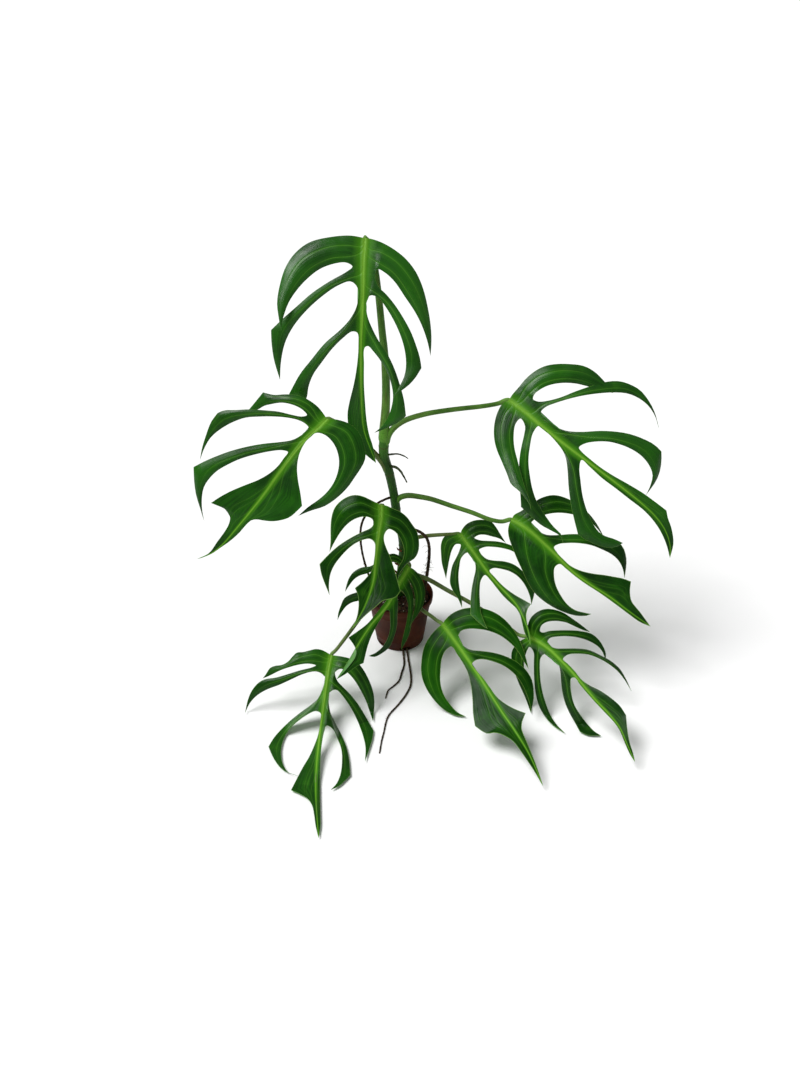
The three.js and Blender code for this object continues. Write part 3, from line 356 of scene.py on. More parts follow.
LEAF_TABLE = """
[leaf_a] radii: 7.4 4.6 stalk: 384,446,184 .5,-21,195 1.5,-25,207 -1,-40,235 -3,-30,258 -4,-40,288
-4,-28,308 -5,-16,320
rib: 365,238,330 -1.5,24,336 -.5,28,338 -1,30,336 -1,25,332 0,30,322 .5,25,308 2.5,30,292 12,33,276
left: 350,235.5 -20,1.5 -20,5 -14,10 -10,14 -6,18 -3,19 2,17 tip 2,11,50 3,-16 5,-13 8,-12 10,-11
13,-10 15,-5.5 11,-1 gap 6.5,4 -6.5,5.5 -16,9 -18,12 -16,14 -12,10.5 corner -13,12.5 .5,13 2.5,17
tip 6,20 1,-18 4,-19 8,-16 12,-15 15,-14 18,-12.5 13,-4 gap 7,7.5 -1,16 -7,14 -10,11 -15,13 -14,17
-11,14 corner -11,20 tip 14,11 4,-8 1.5,-10 4.5,-12 9,-13 10,-13 11,-11 9,-6.5 gap 5.5,1.5 1,12
-1,17 -3.5,22 -4.5,18 -2,12 1.5,14 6,13 9,12 tip 12,10
right: 372,239 11,4 12,7 11,9 10,13 7,16 5,20 3,20 .5,14 tip -1,14 -3,-14 -5.5,-16 -7,-14 -10,-15
-11,-16 -10,-9 -6.5,-3 gap -2.5,6 3,11 8,8 9,11 9,14 7,13 5,13 4,13 corner 1.5,10 -5.5,9 -7,8 -8,6
tip -8,7,40 6,-11 5,-10 2,-11 -1,-14 -4,-15 -7,-16 -9,-15 -7,-8.5 -8,-2 gap -3.5,7.5 1,13 5.5,14
7,13 8,12 7,15 5,15 4,15 corner 2,16 -7,6 -11,5.5 tip -14,5.5 8,-7 6,-9 3.5,-10 1.5,-11 -2,-13
-4,-11 -7,-12 -7,-9 -5,-5 gap -3.5,2 -.5,17 0,20 1,17 1.5,18 2.5,14 4,13 tip 3,16
[leaf_b] radii: 4.8 4 stalk: 389,474,140 -5,-9,156 -7,-9,166 -9,-9,182 -10,-8,215 -12,-9,262
-10,-7,305 -5,-3,325
rib: 327,419,334 -9,9,338 -10,9,341 -10,11,342 -10,13,343 -11,15,342 -12,17,339 -15,19,334
-14,17,328 -14,16,322 -12,9,317 -13,5,312
left: 323,413 -6,-7 -10,-7 -11,-4 -11,-.7 -11,.5 corner -11,-2.5 -7,8.7 tip -10,12,-14 13,-4 5,-3
8,-2 9,-1.3 9,1.3 9,3.5 5.5,4 gap 2.5,3.5 -5,1.5 -10,-1.7 -14,-3.3 -13,-1.2 -15,-1 -15,.7 -11,.3
corner -6.5,2.7 -6.5,9 -5,13 -4,13 tip -2,12 4,-11 6,-10.5 6,-6 7,-5 9,-5 13,-4.7 13,-1.1 14,-.2
14,1 12,2.5 7,3.5 gap 3.5,4 -2.5,3.5 -6,5 -8,4 -12,2 -15,1.5 -15,2.5 -18,4.5 -14,5 -13,5.5 corner
-11.5,6 .5,13 2,15 4,13 tip 4,13 -2,-13 0,-11 2,-10 5,-8 8,-8 11,-6.5 12,-5.5 15,-4.5 15,-3.2
12,-1.1 gap 6,1.8 -4,6 -6,8 -8,7 -12,7 -14,5.5 -14,6 -11,6 corner -8,5.5 8,1.5 7,5.5 bend 4,6
-1,7.5 -4,7.5 -8,11 -8,11 tip -12,6
right: 333,419 8,1.5 9,3.5 8,7 5,10 2.5,11 -.5,8 -4,8 -6,9 -7,10 -10,10 -13,9 -15,5 tip -12,5 10,-9
10,-7 9,-8 7,-10 4,-11 1,-11 -3,-12 -6,-9 -7,-5 -7,-1 gap -7,5 -6,8 -4,9 -2,13 1,12 2.5,14 corner
1.5,12 -5,5 -7,6 -8,3 -10,1.3 -10,-1 -6,-1 -5,1.2 -6,5.5 -6,7 -9,8 -10,7 -9,6 tip -14,5
[leaf_c] radii: 5 4 stalk: 385,446,184 2.5,-9,190 4.5,-7,194 6,-5.5,197 9,-5,198 17,-5.2,196
17,-3.1,191 19,-2.5,184 24,-2.7,175 14,-2.5,169
rib: 509,400,168 11,8,176 10,8,183 12,10.5,190 13,10.5,196 13,10,201 14,10.5,205 18,13.5,208
20,15,209 20,16,206 15,14,202 10,14,197 5,15,191 0,13,186
left: 512,395 6,-7 8,-9.5 9,-7.5 10,-5 11,-2 14,0 14,2 11,6 10,10 tip 8,11,34 -11,-2.5 -14,-4
-13,-3 -13,-.5 -12,2 -9,4 -6.5,5 gap -1.5,5 5,2.5 8,-.5 14,-3.5 15,-6 15,-5.2 15,-4.3 13,-1 10,2.5
12,6.5 9,11 6,12 tip 4,15 -4,-12 -7,-10.5 -10,-7.7 -11,-4.3 -12,-1 -15,.8 -15,2 -15,3.2 -15,4.5
-9,3.8 gap -5,5.2 4,8 11,7 12,4 14,.8 18,-1 15,.7 15,2.5 15,5.5 10,5.5 corner 6.5,6.5 0,10.5 -2,11
-4.5,10 tip -9,12 4.5,-10 2,-10 -3,-9 -7.5,-9.5 -10,-7 -12,-5 -12,-2.8 -13,0 -10,1.8 gap -6,4 4,5.5
7,6 10,8 13,8.5 15,8.5 15,9 13,9.5 corner 10.5,8 1.5,7.5 3.5,10 2,15 tip -3.5,15
right: 503,403 -5,8 -3.5,12 -.5,14 2.5,12 5,12 5.5,13 4,10 8,7 7,8 tip 5,11,100 -2.5,-13 -4,-11
-3.5,-12 -3.5,-14 -3,-12 -.8,-12 1.8,-12 gap 5,-5.5 4.5,7.5 -1,9 -2.5,11 -2,12 -.5,12 .5,15 1,12
corner .5,10 10,9.5 10,8.5 11,6 7,4 tip 4,8,32 -2,-9 -8,-8 -8,-11 -7,-11 -5,-13 -3,-15 -1.5,-15
1.5,-15 3,-13 gap 5.5,-7 6.5,4.5 7,6.5 8,9.5 5.5,10.5 2,13 1,16 2,16 3,15 corner 4.5,17.5 9,6
13,5.5 12,2 tip 11,-5,26 -10,-4.5 -9,-3 -6,-4.5 -7,-11 -5,-12 -3.5,-13 -2,-15 -1,-12 gap 2,-8 8.5,7
12,11 14,10.5 14,11 13,10 10,10.5 8,12 6,14 tip 3,12
[leaf_d] radii: 5 3.7 stalk: 394.5,509,106 1.5,-7,114 4,-4.5,121 8,-2,126 12,1.3,129 11,2.2,131
21,7,133 20,6.5,134 18,7,133 12,2,130
rib: 511.5,519.5,130 8.5,4.5,137 10,7,144 13,11.5,151 14,13.5,157 16,16,161 18,13,162 19,12,160
20,15,156 20.5,14.5,151
left: 514,515 7,-4 10,-7 10,-6 12,-3 12,2.5 12,6.5 11,8.5 9,11.5 tip 8,15,-10 -10,-13 -10,-8
-12,-3.5 -13,-1.7 -12,1.2 -10,3.5 gap -6.5,5 2.5,5 6,4.5 7,2.8 11,.2 13,-1 14,.5 15,2.5 13,3 7,3.5
4,5.5 2.5,10 -.5,10 tip -1.5,9 -2,-10 -4.5,-8 -7,-6 -9,-4.5 -10,-4 -12,-2.2 -12,-.3 -9,1 gap -5,3
3,5.5 6,6.5 7,6.5 10,5 12,3 12,1.5 10,1.8 9,1.7 corner 8,3 -1,9.5 1.5,10 8.5,11 tip 10.5,14.5
right: 509.5,523 -1.5,7 1,8 4,11 4,10 5,11 5,11 6,10 8,8 10,7 11,5.5 13,4 10,.5 tip 6.5,-2,10
-7.5,-1.5 -9,-2.5 -8,-6 -7,-10 -4.5,-10 -1.5,-10 1,-7 gap 5,-3 6,4.5 9,7.5 11,8 14,9 14,10 14,10.5
12,8.5 tip 10.5,4.5
[leaf_e] radii: 4.6 4 stalk: 399,527,88 -3,-4,105 -5,-7,128 -5,-6,143
rib: 381,505,154 0,13,162 -2,14,169 -2,16,176 -1.5,15,183 -1.5,15,190 -4,15,197 -6,15,203 -6,11,207
-6,10,210
left: 376,502.5 -6,-3 -8,-3.5 -8,-1 -7,2 -7,4.5 -5.5,6.5 -3,9 -1,11 0,13 tip -1,11 4.5,-9 6,-10
6,-7.5 7,-5.5 8,-3 7,0 4.5,2.5 gap 1,4.5 -3,4 -7.5,3.5 -10,5 -10,6 -8,6 -8,7.5 corner -7.5,8 1.5,9
3.5,10 tip 5,12 -.5,-10 1.5,-11 4,-9 6,-8 7.5,-8 8,-6 8,-3.5 6,-.7 gap 4.5,3.7 .5,8.5 -1,9 -2,10
-6,8 -6,6 corner -5,4 3,7.5 .7,7.5 -.7,9 -2,8 tip -4,9
right: 386,505.5 7,3 7,3 7,5.5 5,7 5,7.5 2,8.5 -.5,11 -3.5,7 -7,5 -6,7 -3.5,7 tip .5,10,10 -3,-10
2.5,-10 4.5,-8 1,-7 -1,-7 -3.5,-8 -5.5,-6 -5.5,-2 gap -4,5 -.5,6 2,7 3.5,8 3.5,10 3,10 2.5,9 corner
2,7 -4.5,6 -6,2 -7,1.5 -7,6 -8,6.5 -8,7.5 tip -8,8.5
[leaf_f] radii: 4 3.2 stalk: 403.5,545,66 2.5,-4,74 5,-2.5,82 8,-1.5,88 11,-1.5,92 12,-.8,94
10,-.5,93
rib: 460,534,92 10,13.5,101 9,12.5,108 9,12.5,115 10,12,122 10,10.5,130 9,10.5,138 6.5,12.5,148
4.5,13,158 2.5,14,168
left: 462,529.5 4,-5 7,-3.7 9,-1.1 9,1.8 5,5.5 4,6.5 tip 6,9.5 -7,-4.5 -7,-2 -7,-1.7 -6,.2 gap
-4.5,2.8 5.5,2.4 8,.6 10,.7 10,2.5 10,5 8,8 tip 5,10 -8,-7 -10,-8.5 -10,-3.2 -9,-1.3 -9,0 gap -6,3
3,5 5,4 7,1.5 10,.8 10,3.2 8,6 7,8.5 5.5,11 tip -3,15 -1.5,-8 -4,-10 -7,-9.5 -9,-6 -10,-2.8 -6,-.7
gap -4.5,2.5 5.5,7 6,6.5 7,6 8,5.5 8,4.5 corner 7,4 -3.5,5 -1.5,6 1,9 2.5,10 tip 1,11
right: 456,533.2 -6,.6 -6,3.2 -3,7 0,10 1,10 2.5,9 tip 1.5,6 1.5,-9 2,-11 2.5,-9 3.5,-5.5 gap 5,0
-1,5.5 -3,7 -4,8 -2,9 -.5,9 3,8 4,6 tip 5,11,36 -.5,-10 -2,-10 -1,-11 1,-11 2,-8.5 gap 6,-5 5,4.5
2.5,6 .5,7 -2,9 -2,11 -1,12 corner 0,12.5 6.5,6.5 6,5 tip 4.5,2.5,90 -3.5,-7.5 -3,-8 -1,-11 -.3,-12
1.3,-10 gap 4,-5 5,4.5 6,7.5 6,7.5 7,7 7,6.5 4,6.5 2,7.5 2.5,10 tip 6,13
[leaf_g] radii: 3.8 3.3 stalk: 401,588,10 4,4,36 5,5,58 6,7,76 7,6.5,92 8,5.5,106 6,4.5,116
rib: 442.5,624,122 9.5,13,137 11,15.5,154 12,17.5,174 13,20,198 14,22,222 13,19,244 14,23,270
14,32,300
left: 445,620 7,-6.5 10,-4.5 11,-1.5 13,1.5 13,6 11,10 8,12 5,11 3,10 tip 2.5,11,62 -5.5,-9 -6,-10
-8,-8 -9,-6.5 -11,-4.5 -11,-2 -11,0 -6,2 gap -2.5,4.5 1.5,6 4.5,5 6.5,3.3 11,1.2 11,1.5 12,3.5 12,6
9,8 6,10 2,14 tip -3,18,38 -3,-14 -5.5,-13 -7.5,-10.5 -10,-8 -11,-5 -11,-2.5 -7,1 gap -4,4 4.5,6.5
6.5,7.5 7,9.5 7,9.5 8,6.5 10,5.5 corner 10.5,4 -3.5,9 -.5,7 3.5,9 5,12 6,15 tip 7,21
right: 438.5,627 -7.5,8 -6.5,11 -3,14 0,15 4.5,13 8,12 9,9 10,5.5 tip 13,2,24 -10,-5.5 -7,-8
-5.5,-9 -3,-11 0,-13 1.5,-12 3.5,-7.5 gap 6,-4 5.5,7.5 5.5,8.5 5,9.5 3.5,14 1.5,14 .5,13 corner
2,13 6,4.5 6,3 7,-1 7,1.5 7,3.5 6,4.5 6,8 7,10 8,12 tip 8,14
[leaf_h] radii: 4.4 3.1 stalk: 401.5,573,33 4.5,-.5,44 5,.5,52 7,2.5,62 10.5,4,74 18.5,10.5,92
22,12,106 16,9.5,114 15,8.5,120 11,9,126 8,6,130
rib: 528.5,637,138 9.5,4.5,146 11,7.5,156 12,11.5,168 11,11.5,180 11,13,194 13,15.5,210 13,13.5,224
11,14,238 7,16,252 8,18,266
left: 527.5,632 .5,-7.5 3,-7 6,-5.5 8,-3 9,.5 9,3 10,6.5 9,6.5 tip 8,6.5,-8 -7,-2 -8,-3.5 -9,-4
-10,-1.5 -9,1 -5.5,3.5 gap -1.5,5.5 3,1.5 6,-1.5 10,-.7 12,0 11,1 10,2.7 7,6 5,8 2,6 tip -.5,6
-3,-8 -4.5,-5.5 -8,-5 -10,-3.5 -11,-1.7 -11,.2 -8,1.5 gap -2.5,4 3,4 5.5,2.3 9,.2 12,0 12,1.5 11,5
11,6 9,8 6,10 tip 5.5,12 -7.5,-12 -7,-8.5 -9,-7 -10,-5.5 -10,-3.5 -11,-1 -9,1 gap -5,4.5 5,5 7,7.5
7,8.5 8,5.5 10,5 11,7.5 9,8 corner 6,9 1.5,16 2,11 3.5,11 tip 2,9
right: 523.5,639 -6.5,4.5 -5,7.5 -.5,10 3,11 4.5,12 5.5,12 tip 6.5,17,-12 -.5,-13 -3,-12 -2.5,-12
-1,-12 1.5,-9 gap 4,-8 4,5 .3,11 .2,15 1.5,15 3.5,13 6,10.5 8,8.5 tip 12,8 -8,-8 -6,-9 -4.5,-11
-4,-13 -2.2,-14 -.6,-13 .8,-7 gap 4,-4 6.5,2 6,5.5 3,8 1,11.5 1.5,12 3,11 4.5,10 4,7 corner 6,10.5
8,3.5 tip 13,.5 -7,-4.5 -7,-7.5 -7,-9 -5.5,-9.5 -3.2,-11 -1,-9 .7,-6.5 gap 3.5,-1 5.5,7 8,9.5 9,10
9,9.5 8,8.5 6,9 5,12 5,11 tip 5,8
[leaf_i] radii: 4 3.1 stalk: 399,587,8 -8,3,34 -9,4,56 -10,7,76 -10,14,98 -10,14,116 -9,12,128
-7,9,135
rib: 331,655,138 -2.5,13,148 -2,14,160 -2,15,174 -2,15,189 -2,15,205 -1.5,15,222 -2,18,246
-1.2,18,272 0,17,298 1,19,328 1.7,24,368
left: 327,652.5 -5,-2.5 -6,-1 -7,1.5 -6,1.5 -6,.5 -4,3.5 -5,5.5 -6,3.3 -7,1 -5,2.2 -4,6 tip
-3.5,4.5,14 7.5,-3 10,-5 10,-3.5 10,-2.5 9,-.8 gap 7,1.6 -4,2 -12,3 -12,3.7 -12,3.5 -12,2 -7,4.5
-6,8 -3.5,9 tip -2.5,12 5,-10 7,-7.5 10,-6 12,-4.5 12,-5.5 11,-5 10,-2.8 7,.3 gap 6,4.5 -1,7.5 -3,9
-4,6.5 -7,6 -9,6.5 -10,8 -9,8.5 -8,9 corner -5.5,9 3.5,8.5 bend 5,8.5 7,7 tip 14,5.5 -10,-4 bend
-5,-7.5 -2,-9.5 .5,-9 3.5,-10 6,-9 8,-7 8,-5.5 8,-3.5 gap 5.5,2 -.5,11 -2,11 -4,11 -5,11 -6,10
corner -12,23 8,3.5 8,4.5 5,7 2,9 1.5,11 tip 3,13
right: 335,655.5 7,1 8,2 7,3.5 6,7 6,11 4,11 1.5,11 tip -1.5,19 -3.5,-10 -3.5,-10 -5,-10 -6,-10
-7,-8 -7,-4.3 gap -5.7,3.3 1.7,8 5,6 8,8 8,10 8,13 corner 7.5,13.5 -1,7.5 -3,10 tip -4.5,13.5
.5,-14.5 -2.5,-11.5 -5,-13.5 -7,-14 -8,-12 -7,-6.5 gap -6.5,3 -.8,9.5 1.8,10.5 4.5,9.5 6,12 5,12
3,13 corner 1.3,16 -5.3,5.5 -6,5.5 tip -8,3.5 5.5,-6 4,-9.5 1.5,-12 -.5,-12 -3.5,-11 -4.5,-9.5 gap
-7,-4 -2.5,6.5 -2,10 -1.5,15 -.5,18 0,20 .3,17 .2,13 tip -2,13
[leaf_j] radii: 3.8 3.2 stalk: 402,566,44 3,-2,60 3,-.5,76 1.5,1,88
rib: 409.5,567,97 -5.5,9,104 -4.5,8,109 -5.5,10,115 -6,11,122 -8,10,130 -8,9,138 -9,13,149
-8,13,160 -8,14,174 -10,15,190
left: 406,561.5 -6,-5.5 -7,-2.5 -8,2.5 -8,6 -7,4.3 -8,1 -8,4.2 -5,6.5 -2.5,7 tip -1.5,7,16 5,-7.5
4,-5 6,-4 7,-2 9,-4 9,-5 8,-2.5 6,2 gap 4,6.5 -4,5.5 -8,3 -11,5 -12,5 -12,3.5 -7,2.5 -5,3.5 -3,6.5
-2.5,7 tip -1,8,14 4,-7.5 4.5,-6 6,-4 6,-1.5 10,-2 12,-5 8,-3.5 gap 5,-1 -5,8.5 -6,8 -7,9 -8,9 -9,7
corner -9.5,6.5 4.5,6 3.5,6.5 -1,7 -5.5,8 -6,7 tip -7,7
right: 414,569.5 6,6.5 4,9 1,10 -2,10 -5,9.5 -5,6.5 tip -3.5,7,28 3.5,-13 2,-11 -.5,-10 -3,-9 gap
-4,-6.5 2.5,5.5 2.5,7.5 1,9.5 -.5,11 -1.5,12 -3,12 tip -7.5,14,12 1,-9 2.5,-10 2.5,-12 1.3,-11
-1.8,-10 -4,-7 gap -4,-1.5 -1,5.5 .5,8 -.5,11 -.5,11 -3,12 -5,10.5 -8,6.5 -7,3 tip -5.5,-1 7.5,-3.5
6,-5 5,-7.5 3,-10 .3,-12 -.8,-7.5 gap -3,-.5 -4.5,7 -6,10 -5,10 -3.5,10 -2.5,10 corner -1.5,6
-6.5,3 -7,5 -7,4.5 tip -6,3.5
"""


def read_leaves(text: str) -> dict[str, LeafDrawing]:
    """Makes the leaves' drawings from their table."""
    leaves = {}
    for name, parts in read_table(text).items():
        start, end = (float(radius) for radius in parts.pop("radii").split())
        leaves[name] = LeafDrawing(radii=(start, end), **parts)
    return leaves


LEAVES = read_leaves(LEAF_TABLE)


STEM_PATH = (
    "384,432,194 0,8,187 0,15,165 5,17,145 4,18,126 2.5,15,110 2,15,95 4.5,15,76 1.5,13,62 "
    "-1,14,45 -1.5,16,23 -1,14,3"
)
STEM_RADII = (7.6, 9.4, 9.2, 8.8, 8.4, 8.8, 8.4, 8.6, 9.0, 9.2, 9.6, 10.0)
STEM_FOOT = 60.0
STEM_FOOT_RADIUS = 9.0


@dataclass(frozen=True)
class RootDrawing:
    """One root as drawn, with its radii from its start to its end.

    An aerial root that reaches the soil has a soil_depth, and a trailing root a start.
    """

    path: str
    radii: Pair
    soil_depth: float = 0.0
    start: Pair | None = None


ROOTS: dict[str, RootDrawing] = {
    "root_air_upper": RootDrawing(
        "386,455,165 6,-.7,170 6,-.3,174 6,2,178 4,2.5,181",
        radii=(1.6, 0.8),
    ),
    "root_air_middle": RootDrawing(
        "389,466.5,152 6,.5,160 5,3.5,166 3.5,5.5,170 3.5,6.5,173",
        radii=(2.4, 1.0),
    ),
    "root_air_left": RootDrawing(
        "392,497,119 -6,2,127 -8,4,131 -8,7,130 -6,8,125 -3,9,117 -.5,10,107 1,11,93 2.5,12,76 "
        "4,13,50 4,13,18 1,6,3",
        radii=(2.4, 2.0), soil_depth=30.0,
    ),
    "root_air_right": RootDrawing(
        "402,532,80 6,-2.5,94 6,0,104 6,2.5,108 5.5,4.5,104 3,6.5,92 .8,9,75 -.8,11,55 "
        "-1.5,12,33 -2,13,8",
        radii=(2.7, 3.3), soil_depth=30.0,
    ),
    "root_trailing_short": RootDrawing(
        "403.5,652 1.2,5 -.7,7 -2.5,9 -2.5,7.5 -5.5,5.5 -5,4 -3,8",
        radii=(2.0, 1.2), start=(6.0, -38.0),
    ),
    "root_trailing_long": RootDrawing(
        "408,652 1,8 1.3,10 .7,7 -.5,8 -3,7 -5.5,8 -6,7 -6,6.5 -3.5,6.5 -2.5,11 -2.5,10 -2,12",
        radii=(2.1, 1.2), start=(14.0, -37.0),
    ),
}


# ---- Leaf blades ----


class RibLine:
    """A blade's rib as a line in its own length, from 0 at the base to 1 at the tip."""

    def __init__(self, text: str) -> None:
        """Reads the rib from its drawn points."""
        self.steps = smooth_walk(read_points(text))
        self.line = as_array(self.steps)
        spans = flat_distance(self.line[1:], self.line[:-1])
        self.lengths = np.concatenate([[0.0], np.cumsum(spans)])
        self.total = float(self.lengths[-1])
        self.parts = round(self.total / RIB_STEP)

    def on_part(self, share: float | Array) -> float | Array:
        """Moves shares to the nearest part, so that both halves of a blade meet there."""
        return np.round(np.clip(share, 0.0, 1.0) * self.parts) / self.parts

    def at(self, share: float | Array) -> Array:
        """The rib's points at one or more shares of its length, as x, y and near."""
        return between(np.clip(share, 0.0, 1.0) * self.total, self.lengths, self.line)

    def nearest(self, point: Vector) -> float:
        """Finds the share of the rib's step that is nearest to a point."""
        distances = [flat_length(step, point) for step in self.steps]
        return float(self.lengths[int(np.argmin(distances))] / self.total)


@dataclass(frozen=True)
class BladeForm:
    """How a blade is bent, and how finely it is divided. Lengths in millimetres."""

    thickness: float = 0.8
    wing_rise: float = 6.0
    wing_reach: float = 22.0
    slope: float = 0.1
    droop: float = 0.16
    cup: float = 0.14
    cup_onset: float = 3.0
    floor_clearance: float = 5.6
    foot_spacing: float = 0.03
    rib_ridge: float = 1.7
    rib_band: float = 1.8
    rib_band_end: float = 0.5
    vein_dip: float = 0.6
    vein_dip_width: float = 6.0
    rib_end_radius: float = 0.8
    rib_taper: float = 0.7
    wave: float = 1.5
    wave_length: float = 34.0
    ripple: float = 0.28
    ripple_length: float = 11.0
    lobe_rows: int = 34
    lobe_columns: int = 12
    wing_rows: int = 13
    terminal_rows: int = 58
    lobe_vein: float = 0.58
    base_lobe_veins: Pair = (0.36, 0.78)
    end_veins: tuple[float, ...] = (0.03, 0.24, 0.46)
    vein_lean: float = 1.5

    def wing(self, distance: Array) -> Array:
        """How far the blade rises towards the eye at a distance from its rib."""
        return self.wing_rise * (1 - np.exp(-distance / self.wing_reach))


@dataclass
class BladeGrid:
    """A grid of blade spots: their places, and what the leaf's finish reads at each.

    veins holds signed distances from up to three veins, flow the distance across the
    blade's fibres and run the distance along them, all in millimetres. fade is 1 where the
    veins are strongest.
    """

    points: Array
    veins: Array
    flow: Array
    run: Array
    fade: Array
    edge: Array
    number: int

    def dips(self, form: "BladeForm") -> Array:
        """How far the blade sinks at its veins, in millimetres."""
        nearest = np.abs(self.veins).min(axis=-1)
        return form.vein_dip * np.exp(-nearest / form.vein_dip_width) * (0.3 + 0.7 * self.fade)


@dataclass
class Margin:
    """One side of a blade: its drawn points, its steps, and the feet of its gaps."""

    points: list[DrawnPoint]
    line: Line
    feet: list[float]

    def marks(self, kind: PointKind) -> list[DrawnPoint]:
        """The drawn points of one kind."""
        return [point for point in self.points if point.kind is kind]

    def corners(self, first: int, last: int) -> list[int]:
        """The corners and bends between two steps, counted from the first."""
        kinds = (PointKind.CORNER, PointKind.BEND)
        steps = [point.step for point in self.points if point.kind in kinds]
        return [step - first for step in steps if first < step < last]


@dataclass
class Lobe:
    """One lobe: where its wing starts and ends along the rib, and its two margins.

    The upper margin is on the base side. Each margin has its corners. lift is how much nearer
    the lobe's tip comes, in millimetres.
    """

    start: float
    end: float
    upper: Line
    upper_corners: list[int]
    lower: Line
    lower_corners: list[int]
    lift: float

    @property
    def from_base(self) -> bool:
        """Whether this is its side's first lobe."""
        return self.start == 0

    def share(self, part: float | Array) -> float | Array:
        """The place along the rib of a part of the lobe's foot."""
        return self.start + (self.end - self.start) * part


class BladeSheet:
    """A blade's upper face, woven from its rib and its two margins."""

    def __init__(self, drawing: LeafDrawing, form: BladeForm, seed: int) -> None:
        """Weaves the sheet.

        Args:
            drawing: the leaf as drawn.
            form: how its blade is bent and divided.
            seed: the number that sets its small waves.
        """
        self.drawing, self.form, self.seed = drawing, form, seed
        self.rib = RibLine(drawing.rib)
        self.grids: list[BladeGrid] = []
        for text in (drawing.left, drawing.right):
            self.add_side(self.read_margin(text))

    def read_margin(self, text: str) -> Margin:
        """Reads one margin and finds where its gaps meet the rib."""
        base = self.rib.steps[0]
        points = [DrawnPoint(Vector((base.x, base.y, 0.0)), PointKind.BASE), *read_points(text)]
        line = [Vector((step.x, step.y, 0.0)) for step in smooth_walk(points)]
        feet: list[float] = []
        for point in points:
            if point.kind is PointKind.GAP:
                before = feet[-1] if feet else 0.0
                nearest = self.rib.nearest(point.place)
                feet.append(float(self.rib.on_part(max(nearest, before + self.form.foot_spacing))))
        return Margin(points, line, feet)

    def add_side(self, margin: Margin) -> None:
        """Adds every lobe of one side, and its half of the end lobe."""
        gaps = margin.marks(PointKind.GAP)
        tips = margin.marks(PointKind.TIP)
        start_step, start_foot = 0, 0.0
        for gap, tip, foot in zip(gaps, tips, margin.feet):
            span = gap.step - tip.step
            self.add_lobe(Lobe(
                start_foot, foot,
                margin.line[start_step:tip.step + 1], margin.corners(start_step, tip.step),
                margin.line[tip.step:gap.step + 1][::-1],
                sorted(span - corner for corner in margin.corners(tip.step, gap.step)),
                tip.place.z,
            ))
            start_step, start_foot = gap.step, foot
        end = tips[-1].step
        line = margin.line[start_step:end + 1]
        self.add_end_lobe(line, margin.corners(start_step, end), start_foot)

    @staticmethod
    def split_from_base(upper: Line, reach: float) -> int:
        """Finds the step where the first lobe leaves the wing along the rib."""
        length, step = 0.0, 0
        while step < len(upper) - 1 and length < reach:
            step += 1
            length += flat_length(upper[step], upper[step - 1])
        return max(step, 1)

    def add_lobe(self, lobe: Lobe) -> None:
        """Adds one lobe and the wing that joins it to the rib."""
        form = self.form
        split = 0
        if lobe.from_base:
            foot = Vector(self.rib.at(lobe.end))
            split = self.split_from_base(lobe.upper, flat_length(foot, lobe.lower[0]))
        rows = form.lobe_rows
        kept = [step - split for step in lobe.upper_corners if step > split]
        upper_rows = resample(lobe.upper[split:], kept, rows, ROW_EASE)
        lower_rows = resample(lobe.lower, lobe.lower_corners, rows, ROW_EASE)
        across = np.linspace(0.0, 1.0, form.lobe_columns + 1)
        along = eased(rows, ROW_EASE)
        rib_row = self.rib.at(self.rib.on_part(lobe.share(across)))
        first_row = upper_rows[0] + (lower_rows[0] - upper_rows[0]) * across[:, None]
        gap_width = flat_distance(first_row, rib_row)
        wing_near = rib_row[:, 2] + form.wing(gap_width)
        middle_near = float(np.interp(0.5, across, wing_near))
        middle = self.rib.at((lobe.start + lobe.end) / 2)
        reach = float(flat_distance(upper_rows[-1], middle))
        width = flat_distance(upper_rows, lower_rows)

        grid = upper_rows[:, None] + (lower_rows - upper_rows)[:, None] * across[None, :, None]
        bend = form.slope * along - (form.slope + form.droop) * along ** 2
        cup = form.cup * width[:, None] * (2 * across[None] - 1) ** 2
        cup = cup * np.minimum(1.0, form.cup_onset * along)[:, None]
        base_near = wing_near[None] + (middle_near - wing_near)[None] * along[:, None]
        grid[..., 2] = base_near + (reach * bend + lobe.lift * along ** 2)[:, None] - cup
        outline = as_array([*lobe.upper, *lobe.lower[::-1]])
        lanes = form.base_lobe_veins if lobe.from_base else (form.lobe_vein,)
        lines = [self.vein_line(lobe, lane, grid) for lane in lanes]
        broad = float(width.max())
        fade = 1 - smooth_step(0.25, 0.95, along)[:, None] + np.zeros_like(across)[None]
        flow = across[None] * broad + np.zeros_like(along)[:, None]
        run = along[:, None] * reach + gap_width[None]
        self.add_grid(grid, lines, outline, flow, run, fade)
        # The wing, between the rib and the lobe's first row.
        out = eased(form.wing_rows, WING_EASE)
        grid = rib_row[None] + (first_row - rib_row)[None] * out[:, None, None]
        if split:
            walk = resample(lobe.upper[:split + 1], [], form.wing_rows, WING_EASE)
            chord = walk[0] + (walk[-1] - walk[0]) * out[:, None]
            grid[..., :2] += (walk - chord)[:, None, :2] * ((1 - across) ** 2)[None, :, None]
        span = flat_distance(grid, rib_row[None])
        grid[..., 2] = rib_row[None, :, 2] + form.wing(span)
        lean = 0.62 + 0.38 * smooth_step(0.0, 1.0, out)
        flow = np.power(across[None], lean[:, None]) * broad
        self.add_grid(grid, lines, outline, flow, span, np.ones_like(flow))

